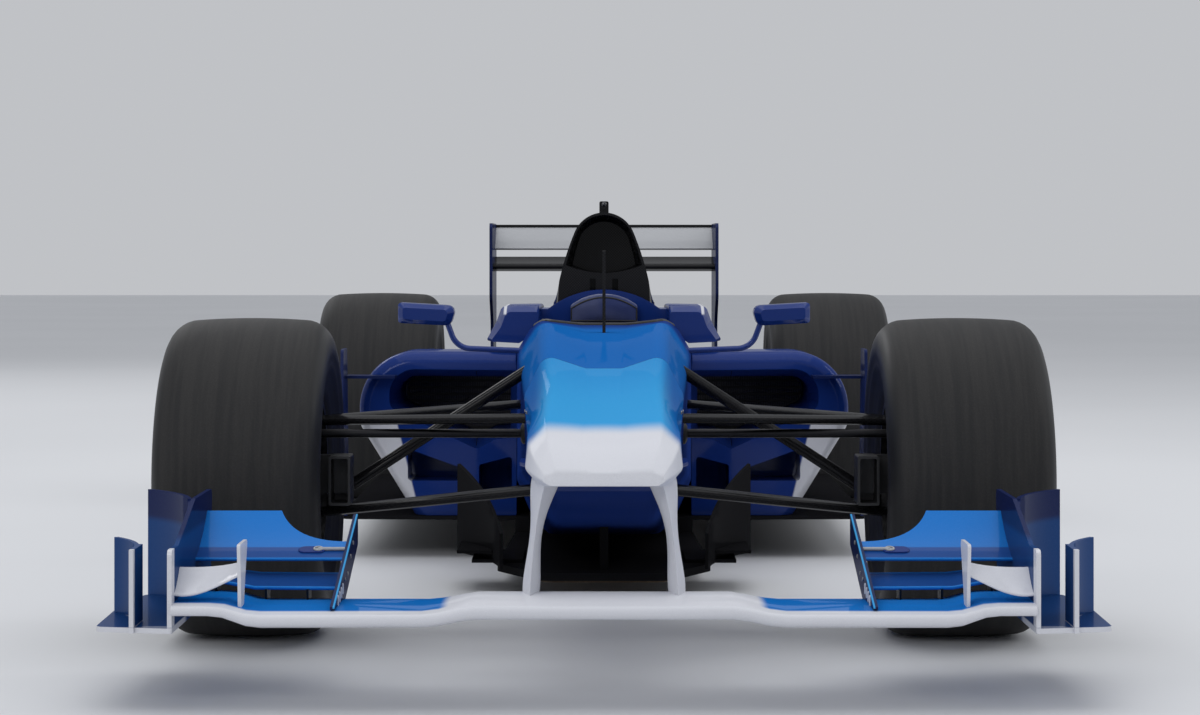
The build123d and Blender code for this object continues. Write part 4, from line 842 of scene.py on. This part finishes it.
def swell(obj, pinned):
    """Blows the mesh up with cloth pressure, its pinned points held, and keeps the capped result."""
    start = [v.co.copy() for v in obj.data.vertices]
    group = obj.vertex_groups.new(name="held")
    group.add([v.index for v in obj.data.vertices if pinned(v.co)], 1.0, "REPLACE")
    cloth = obj.modifiers.new("cloth", "CLOTH")
    cloth.settings.vertex_group_mass = group.name
    cloth.settings.use_pressure = True
    cloth.settings.uniform_pressure_force = PAD_PRESSURE
    cloth.settings.effector_weights.gravity = 0.0
    for number in range(1, PAD_FRAMES + 1):
        bpy.context.scene.frame_set(number)
    swollen = evaluated_mesh(obj)
    bpy.context.scene.frame_set(1)
    obj.modifiers.clear()
    for vertex, rest in zip(swollen.vertices, start):
        move = vertex.co - rest
        vertex.co = rest + move * min(1.0, PAD_CAP / max(move.length, 1e-9))
    obj.data = swollen


def head_cushion():
    """Padded head rest in place of the plain pad."""
    low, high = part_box("head_pad")
    obj = pad_start(low, high)
    swell(obj, lambda place: place.y > high.y - PAD_PIN_DEPTH)
    for vertex in obj.data.vertices:
        vertex.co.y = min(vertex.co.y, high.y - PAD_GAP)
    for face in obj.data.polygons:
        face.use_smooth = True
    soften = obj.modifiers.new("soften", "SMOOTH")
    soften.iterations = 4
    finer = obj.modifiers.new("finer", "SUBSURF")
    finer.levels = finer.render_levels = 1
    dress(obj, pad_cloth)
    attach(obj, "chassis")
    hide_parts("head_pad")
    return obj


def head_piping(cushion):
    """Round cord sewn along the edge of the head rest's face."""
    low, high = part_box("head_pad")
    tree = mesh_tree(evaluated_mesh(cushion))
    half, base, side = PIPING_SHARE * (high.x - low.x), low.z + 0.012, high.z - 0.044
    outline = [(half, base + (side - base) * i / 6) for i in range(7)]
    outline += [(half * (1 - i / 12), side + 0.030 * (1 - (1 - i / 12) ** 2)) for i in range(1, 13)]
    outline += [(-x, z) for x, z in reversed(outline[:-1])]
    outline += [(-half + 2 * half * i / 12, base) for i in range(1, 12)]
    path = [tree.ray_cast(Vector((x, low.y - OUTSIDE, z)), BACK)[0] for x, z in outline]
    form = Form()
    form.swept(path, polygon(8, PIPING_RADIUS), BACK, closed=True)
    piece("head_piping", form, trim)


head_piping(head_cushion())


# Steering wheel, in its own axes: x across, y up, z towards the driver

GRIP_PATH = ((0.112, 0.050), (0.1165, 0.025), (0.1195, 0.0), (0.110, -0.028), (0.101, -0.048))
GRIP_RADIUS = 0.0156
# Profile of a grip's rib: height over the grip, place along it
GRIP_RIB = ((-0.002, -0.0016), (0.0012, 0), (-0.002, 0.0016))
FACE_Z = 0.011
# columns: colour name, linear colour, places on the face
BUTTONS = (
    ("red", (0.45, 0.010, 0.010), ((-0.060, 0.034), (0.048, -0.016))),
    ("yellow", (0.55, 0.36, 0.010), ((0.060, 0.034), (-0.048, -0.016))),
    ("green", (0.010, 0.22, 0.030), ((0.062, 0.008), (-0.024, -0.016))),
    ("white", (0.60, 0.60, 0.60), ((-0.062, 0.008), (0.024, -0.016))),
)
DIALS = ((-0.040, -0.038), (0.0, -0.040), (0.040, -0.038))


def hand_wheel_axes():
    turn = joint("hand_wheel_turn")
    to_driver = -Vector(turn["axis"]).normalized()
    up = (UP - to_driver * UP.dot(to_driver)).normalized()
    axes = Matrix((up.cross(to_driver), up, to_driver)).transposed().to_4x4()
    return Matrix.Translation(turn["pos_m"]) @ axes


def steering_wheel_fittings():
    """Face plate, display, shift lights, buttons, dials, ribbed grips and shift paddles."""
    axes = hand_wheel_axes()

    def at(x, y, z=FACE_Z):
        return axes @ Matrix.Translation((x, y, z))

    def fit(name, form, material):
        piece("hand_wheel_" + name, form, material, "hand_wheel")

    plate = Form()
    plate.raised(at(0, -0.002), rounded_box(0.150, 0.098, 0.016), [(-0.001, 1), (0.0025, 1), (0.0035, 0.98)])
    for side in SIDES:
        paddle = at(side * 0.086, -0.004, -0.030)
        plate.raised(paddle, rounded_box(0.052, 0.062, 0.014), [(-0.002, 0.96), (0.0, 1), (0.002, 0.98)])
        stalk = at(side * 0.056, -0.004, -0.032)
        plate.raised(stalk, rounded_box(0.026, 0.016, 0.004), [(0, 1), (0.024, 1)])
    fit("plate", plate, gloss_carbon)

    screen = Form()
    screen.raised(at(0, 0.016), rounded_box(0.070, 0.040, 0.005), [(0.003, 1), (0.006, 1), (0.007, 0.97)])
    fit("display", screen, glass)

    lights = Form()
    for i in range(9):
        lights.turned(at(0.0075 * (i - 4), 0.0415), [(0.003, 0.002), (0.003, 0.005), (0.0018, 0.0066)], 10)
    fit("lights", lights, lens)

    for name, colour, places in BUTTONS:
        form = Form()
        for x, y in places:
            form.turned(at(x, y), [(0.0085, 0.002), (0.0085, 0.005), (0.0072, 0.0062)], 20)
            form.turned(at(x, y), [(0.006, 0.004), (0.006, 0.008), (0.0046, 0.0096), (0.002, 0.0101)], 20)
        fit("button_" + name, form, plastic("button_" + name, colour))

    dials = Form()
    for x, y in DIALS:
        dials.turned(at(x, y), [(0.0125, 0.002), (0.0125, 0.005), (0.011, 0.006)], 24)
        dials.raised(at(x, y), polygon(9, 0.009), [(0.005, 1), (0.014, 0.92), (0.0155, 0.8)])
        dials.raised(at(x, y + 0.004), rounded_box(0.0022, 0.009, 0.001, 2), [(0.014, 1), (0.0165, 1)])
    fit("dials", dials, blue_anodised)

    grips = Form()
    rib = [(GRIP_RADIUS + over, along) for over, along in GRIP_RIB]
    for side in SIDES:
        path = [axes @ Vector((side * x, y, 0)) for x, y in GRIP_PATH]
        grips.swept(path, polygon(20, GRIP_RADIUS), axes.to_3x3() @ UP)
        for start, end in zip(path, path[1:]):
            for share in (0.2, 0.5, 0.8):
                grips.hoop(facing(start.lerp(end, share), end - start), rib, 20)
    fit("grips", grips, trim)


steering_wheel_fittings()


# Harness, laid on the seat

STRAP_WIDTH = 0.048
STRAP_THICK = 0.003
STRAP_SECTION = rectangle(-STRAP_THICK / 2, -STRAP_WIDTH / 2, STRAP_THICK / 2, STRAP_WIDTH / 2)
STRAP_SEAT_GAP = 0.0022
SHOULDER_X = 0.062


def on_seat(start, direction):
    """Point of a strap's middle where a line from start meets the seat."""
    return on_node("seat", start, direction) @ Vector((0, 0, STRAP_SEAT_GAP))


def harness():
    """Two shoulder straps, two lap straps, a crotch strap and a round buckle."""
    low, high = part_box("seat")
    pad_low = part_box("head_pad")[0]
    straps = Form()
    for side in SIDES:
        x = side * SHOULDER_X
        back = [on_seat((x, low.y, high.z - 0.012 - 0.022 * i), BACK) for i in range(13)]
        # columns: y, z over the seat's rim
        rim = (
            (high.y + 0.020, pad_low.z - 0.012),
            (high.y - 0.006, high.z + 0.005),
            ((high.y + back[0].y) / 2, high.z + 0.0035),
            (back[0].y + 0.006, high.z + 0.003),
            (back[0].y + 0.001, high.z - 0.001),
        )
        path = [Vector((x, y, z)) for y, z in rim]
        base_y = back[-1].y - 0.03
        base = [on_seat((x * (1 - 0.16 * i), base_y - 0.024 * i, high.z), DOWN) for i in range(5)]
        straps.swept(path + back + base, STRAP_SECTION, (1, 0, 0))
    buckle_y = base[-1].y - 0.012
    lap = []
    for i in range(15):
        x = 0.140 * (i / 7 - 1)
        lap.append(on_seat((x, buckle_y + 0.9 * x * x, high.z), DOWN))
    straps.swept(lap, [(v, u) for u, v in STRAP_SECTION])
    crotch = [on_seat((0, buckle_y - 0.02 - 0.03 * i, high.z), DOWN) for i in range(5)]
    straps.swept(crotch, STRAP_SECTION, (1, 0, 0))
    piece("harness_straps", straps, strap_cloth)

    buckle = Form()
    seat_top = facing(on_seat((0, buckle_y, high.z), DOWN), UP)
    buckle.turned(seat_top, [(0.034, 0.0), (0.034, 0.010), (0.030, 0.014), (0.018, 0.015)], 32)
    buckle.turned(seat_top, [(0.014, 0.012), (0.014, 0.019), (0.011, 0.021)], 24)
    for turn in (30, 150, 270):
        tongue = seat_top @ Matrix.Rotation(math.radians(turn), 4, "Z")
        tongue = tongue @ Matrix.Translation((0.040, 0, 0.005))
        buckle.raised(tongue, rounded_box(0.030, 0.026, 0.004), [(-0.002, 1), (0.002, 1)])
    for side in SIDES:
        adjuster = facing((side * SHOULDER_X, back[3].y, back[3].z), FORWARD)
        buckle.raised(adjuster, rounded_box(0.058, 0.022, 0.004), [(-0.001, 1), (0.005, 1), (0.006, 0.94)])
    piece("harness_buckle", buckle, steel)


harness()


# Edging and fasteners of the body

EDGE_RADIUS = 0.006
EDGE_STEPS = 72
SCREW_R = 0.0055
SMALL_SCREW_R = 0.004
NOSE_MIDDLE_Z = 0.46
COVER_MIDDLE_Z = 0.36
GEARBOX_MIDDLE_Z = 0.335
POD_SCREW_X = 0.322
POD_SCREW_PITCH = 0.155
INSIDE_STRAKES_X = 0.40
# columns: y, z from the front foot of the flaps' box
FLAP_SCREWS = ((0.027, 0.0188), (0.077, 0.0238), (0.137, 0.0488), (0.187, 0.0688))


def hole_edge(middle, way):
    """Where the tub's top begins, going outwards from the middle of the cockpit."""
    reach = EDGE_RADIUS
    top = middle
    while top.z <= middle.z:
        reach += EDGE_RADIUS / 15
        top = on_node("monocoque", middle + way * reach + UP, DOWN).translation
    return top


def cockpit_edging():
    """Rubber edging round the open front of the cockpit, from shoulder to shoulder."""
    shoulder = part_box("cockpit_surround")[0]
    middle = Vector((0, shoulder.y - EDGE_RADIUS, shoulder.z - 10 * EDGE_RADIUS))
    turns = [math.pi * (1 + i / EDGE_STEPS) for i in range(EDGE_STEPS + 1)]
    path = [hole_edge(middle, Vector((math.cos(turn), math.sin(turn), 0))) for turn in turns]
    form = Form()
    form.swept(path, polygon(12, EDGE_RADIUS))
    piece("cockpit_edging", form, trim)


def fasten_round(form, head, node, y, height, turns, radius):
    """Fasteners round a body at station y, seen from its middle at height."""
    for turn in turns:
        way = Vector((math.cos(math.radians(turn)), 0, math.sin(math.radians(turn))))
        head(form, on_node(node, Vector((0, y, height)) + way, -way), radius)


def body_fasteners():
    """Screws at the nose joint, quarter-turns on the engine cover and pods."""
    form = Form()
    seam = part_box("monocoque")[0].y
    for node, station in (("monocoque", seam + 0.014), ("nose_cone", seam - 0.014)):
        fasten_round(form, screw, node, station, NOSE_MIDDLE_Z, (-30, 8, 172, 210), SMALL_SCREW_R)
    low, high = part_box("engine_cover")
    for station in (low.y + 0.016, high.y - 0.03):
        turns = (8, 24, 44, 64, 80, 100, 116, 136, 156, 172)
        fasten_round(form, screw, "engine_cover", station, COVER_MIDDLE_Z, turns, SCREW_R)
    for name in ("sidepod_left", "sidepod_right"):
        low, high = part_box(name)
        side = math.copysign(1, low.x + high.x)
        for i in range(6):
            start = (side * POD_SCREW_X, low.y + 0.10 + POD_SCREW_PITCH * i, high.z + OUTSIDE)
            screw(form, on_node(name, start, DOWN), SCREW_R)
    piece("body_fasteners", form, steel)


def case_bolts():
    """Bolts round the joint of gearbox and crash structure."""
    form = Form()
    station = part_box("rear_crash_structure")[0].y - 0.012
    fasten_round(form, hex_bolt, "gearbox", station, GEARBOX_MIDDLE_Z, range(0, 360, 30), 0.005)
    piece("case_bolts", form, steel)


def wing_screws():
    """Flush screws that hold the rear wing's planes and the flaps to their plates."""
    form = Form()
    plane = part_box("rear_wing_main_plane")[0]
    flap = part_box("rear_wing_flap")[0]
    beam_low, beam_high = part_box("rear_beam_wing")
    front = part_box("front_wing_flaps")[0]
    # columns: y, z
    rows = [(plane.y + 0.04 + 0.06 * i, plane.z + 0.012 + 0.008 * i) for i in range(3)]
    rows += [(flap.y + 0.025 + 0.045 * i, flap.z + 0.02 + 0.030 * i) for i in range(2)]
    rows += [(beam_low.y + 0.035 + 0.045 * i, beam_high.z - 0.024) for i in range(3)]
    for side in SIDES:
        for y, z in rows:
            screw(form, on_node("rear_wing_endplates", (side, y, z), (-side, 0, 0)), SCREW_R)
        for behind, over in FLAP_SCREWS:
            y, z = front.y + behind, front.z + over
            screw(form, on_node("front_wing_endplates", (side, y, z), (-side, 0, 0)), SMALL_SCREW_R)
            start = (side * INSIDE_STRAKES_X, y, z)
            screw(form, on_node("front_wing_strakes", start, (side, 0, 0)), SMALL_SCREW_R)
    piece("wing_screws", form, steel)


def suspension_bolts():
    """Bolt heads on the lugs of the front uprights."""
    for side in ("left", "right"):
        form = Form()
        node = "front_upright_" + side
        low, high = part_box(node)
        x, y, _ = joint("steer_" + side)["pos_m"]
        hex_bolt(form, on_node(node, (x, y, high.z + OUTSIDE), DOWN), 0.010)
        hex_bolt(form, on_node(node, (x, y, low.z - OUTSIDE), UP), 0.010)
        piece("upright_bolts_" + side, form, steel, "knuckle_" + side)


cockpit_edging()
body_fasteners()
case_bolts()
wing_screws()
suspension_bolts()


# Fittings of the wings, lamps and underside

ADJUSTER_RISE = 0.0608
BRACKET_X = (0.535, 0.610, 0.700)
BRACKET_HALF = 0.002
SLATS = 4
# y, z from the front foot of the main plane's box to the first slat, and from slat to slat
SLAT_FIRST = (0.10, 0.0454)
SLAT_STEP = (0.030, 0.0035)
PLANK_BOLTS = 7


def flap_adjusters():
    """Flat adjuster on each upper flap's inner end, with its dial and its rod to the strake."""
    cover, dial = Form(), Form()
    profile = [(0.0095, 0.0), (0.0095, 0.0045), (0.0085, 0.0055), (0.006, 0.0055), (0.0055, 0.0035)]
    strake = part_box("front_wing_strakes")[1].x
    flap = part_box("front_wing_flaps")[0]
    y, z = flap.y - OUTSIDE, flap.z + ADJUSTER_RISE
    for side in SIDES:
        middle = on_node("front_wing_flaps", (side * (strake + 0.062), y, z), BACK)
        inner = on_node("front_wing_flaps", (side * (strake + 0.050), y, z), BACK)
        cover.raised(middle, rounded_box(0.050, 0.026, 0.0125, 6), [(-0.002, 1), (0.002, 1), (0.003, 0.94)])
        dial.turned(inner, profile, 28)
        start = inner @ Vector((0, 0, 0.003))
        end = Vector((side * (strake - 0.001), start.y, start.z))
        dial.swept([start, end], polygon(10, 0.0035), FORWARD)
    piece("flap_adjuster_covers", cover, royal)
    piece("flap_adjuster_dials", dial, satin)


def slot_brackets():
    """Thin plates that hold the slots between main plane and lower flap."""
    form = Form()
    flap_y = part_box("front_wing_flaps")[0].y + 0.022
    for side in SIDES:
        for x in BRACKET_X:
            top = on_node("front_wing_flaps", (side * x, flap_y, 0.10), UP).translation.z
            base = on_node("front_wing_main_plane", (side * x, flap_y - 0.01, 0.5), DOWN).translation.z
            outline = [(0, base - 0.004), (0.045, base - 0.003), (0.050, top + 0.003), (-0.004, top + 0.003)]
            rings = []
            for offset in (-BRACKET_HALF, BRACKET_HALF):
                rings.append(form.ring([(side * x + offset, flap_y - 0.02 + y, z) for y, z in outline]))
            form.skin(rings)
    piece("slot_brackets", form, black_metal)


def strake_slats():
    """Row of pale slots low on the inner face of each strake."""
    form = Form()
    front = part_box("front_wing_main_plane")[0]
    for side in SIDES:
        for i in range(SLATS):
            y, z = [first + step * i for first, step in zip(SLAT_FIRST, SLAT_STEP)]
            start = (side * INSIDE_STRAKES_X, front.y + y, front.z + z)
            place = on_node("front_wing_strakes", start, (side, 0, 0))
            form.raised(place, rounded_box(0.007, 0.020, 0.003), [(-0.001, 1), (0.0015, 1), (0.0022, 0.85)])
    piece("strake_slats", form, pearl)


def gurney_strip():
    """Upright strip along the rear flap's tail."""
    low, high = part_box("rear_wing_flap")
    form = Form()
    path = [Vector((x, high.y - 0.003, high.z - 0.003)) for x in (low.x, high.x)]
    form.swept(path, rectangle(0.0, -0.004, 0.002, 0.010))
    piece("gurney_strip", form, gloss_carbon)


def rain_light_lamps():
    """Bezel and rows of small lamps on the rain light."""
    low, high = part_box("rain_light")
    face = facing((0, high.y, (low.z + high.z) / 2), BACK)
    lamps = Form()
    for i in range(6):
        for j in range(4):
            spot = face @ Matrix.Translation((0.0105 * (i - 2.5), 0.0115 * (j - 1.5), 0))
            lamps.turned(spot, [(0.0042, -0.001), (0.0042, 0.001), (0.003, 0.0028), (0.001, 0.0034)], 12)
    piece("rain_light_lamps", lamps, lens)
    bezel = Form()
    outline = rounded_box(high.x - low.x + 0.006, high.z - low.z + 0.006, 0.012, 6)
    path = [face @ Vector((x, y, -0.007)) for x, y in outline]
    bezel.swept(path, polygon(10, 0.004), BACK, closed=True)
    piece("rain_light_bezel", bezel, trim)


def exhaust_lips():
    """Rolled lip at the mouth of each tail pipe, and a collar behind it."""
    low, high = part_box("exhausts")
    radius = (high.z - low.z) / 2
    form = Form()
    for side in SIDES:
        mouth = facing((side * (high.x - radius), high.y, (low.z + high.z) / 2), BACK)
        form.hoop(mouth, [(radius - 0.0036 + x, y) for x, y in polygon(8, 0.0030)], 40)
        form.hoop(mouth, rectangle(radius - 0.001, -0.060, radius + 0.004, -0.050), 40)
    piece("exhaust_lips", form, titanium)


def camera_glass():
    """Glass dome in the camera pod's front."""
    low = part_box("camera_pod")[0]
    place = on_node("camera_pod", (0, low.y - OUTSIDE, low.z + 0.030), BACK)
    dome = [(0.0068, -0.001), (0.0068, 0.0004), (0.0055, 0.0018), (0.003, 0.0027), (0.001, 0.0029)]
    form = Form()
    form.turned(place, dome, 20)
    piece("camera_glass", form, glass)


def rod_seals():
    """Seals where the track rod passes through the tub's sides."""
    reach = joint("steer_left")["pos_m"][0]
    low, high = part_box("track_rods")
    y, z = (low.y + high.y) / 2, (low.z + high.z) / 2
    section = [(0.0105, -0.006), (0.023, -0.006), (0.022, 0.003), (0.015, 0.007), (0.0105, 0.007)]
    form = Form()
    for side in SIDES:
        wall = on_node("monocoque", (side * reach, y, z + 0.016), (-side, 0, 0)).translation
        form.hoop(facing((wall.x, y, z), (side, 0, 0)), section, 28)
    piece("rod_seals", form, trim)


def skid_blocks():
    """Titanium skids and bolts under the plank."""
    low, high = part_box("skid_plank")
    blocks, bolts = Form(), Form()
    # columns: y, half gap between the pair
    for y, x in ((low.y + 0.12, 0.06), (0.35, 0.09), (high.y - 0.25, 0.09)):
        for side in SIDES:
            place = facing((side * x, y, low.z), DOWN)
            blocks.raised(place, rounded_box(0.060, 0.110, 0.008), [(-0.002, 1), (0.0015, 1), (0.002, 0.97)])
    for i in range(PLANK_BOLTS):
        y = low.y + 0.22 + (high.y - low.y - 0.32) * i / (PLANK_BOLTS - 1)
        for side in SIDES:
            screw(bolts, facing((side * 0.125, y, low.z), DOWN), 0.010)
    piece("skid_blocks", blocks, titanium)
    piece("plank_bolts", bolts, steel)


flap_adjusters()
slot_brackets()
strake_slats()
gurney_strip()
rain_light_lamps()
exhaust_lips()
camera_glass()
rod_seals()
skid_blocks()


# Stage, light and camera

FLOOR_HALF = 40.0
WORLD_COLOUR = (0.88, 0.90, 0.94)
WORLD_STRENGTH = 0.60
# columns: name, place, aim, width and length, watts
SOFTBOXES = (
    ("overhead", (0, -0.2, 6.5), (0, -0.2, 0), (7.0, 10.0), 190),
    ("front_fill", (-4.0, -10.0, 5.0), (0, -1.6, 0.4), (4.0, 3.0), 150),
    ("side_fill", (8.5, 1.0, 5.5), (0, 0, 0.4), (3.0, 5.0), 120),
    ("rear_fill", (-5.0, 9.0, 6.0), (0, 1.4, 0.5), (4.0, 3.0), 120),
)


def stage_floor():
    data = bpy.data.meshes.new("floor_sheet")
    corners = rectangle(-FLOOR_HALF, -FLOOR_HALF, FLOOR_HALF, FLOOR_HALF)
    data.from_pydata([(x, y, 0) for x, y in corners], [], [(0, 1, 2, 3)])
    obj = added("studio_floor", data)
    dress(obj, floor_finish())


def softbox(name, at, aim, size, watts):
    lamp = bpy.data.lights.new(name, "AREA")
    lamp.shape = "RECTANGLE"
    lamp.size, lamp.size_y = size
    lamp.energy = watts
    obj = added(name, lamp)
    obj.location = at
    obj.rotation_euler = (Vector(aim) - Vector(at)).to_track_quat("-Z", "Y").to_euler()


def studio_world():
    world = bpy.data.worlds.new("studio")
    world.use_nodes = True
    sky = world.node_tree.nodes["Background"]
    sky.inputs["Color"].default_value = (*WORLD_COLOUR, 1)
    sky.inputs["Strength"].default_value = WORLD_STRENGTH
    bpy.context.scene.world = world


def photo_camera():
    data = bpy.data.cameras.new("photo_camera")
    data.sensor_fit = "HORIZONTAL"
    data.sensor_width = SENSOR_MM
    data.lens = FOCAL_PX / PHOTO_W * SENSOR_MM
    data.shift_x = (PHOTO_W / 2 - EYE_PX[0]) / PHOTO_W
    data.shift_y = (EYE_PX[1] - PHOTO_H / 2) / PHOTO_W
    data.clip_end = 200
    obj = added("photo_camera", data)
    obj.location = CAMERA_AT
    obj.rotation_euler = (math.pi / 2, 0, 0)
    bpy.context.scene.camera = obj


stage_floor()
studio_world()
for row in SOFTBOXES:
    softbox(*row)
photo_camera()
bpy.context.scene.view_settings.view_transform = "Standard"
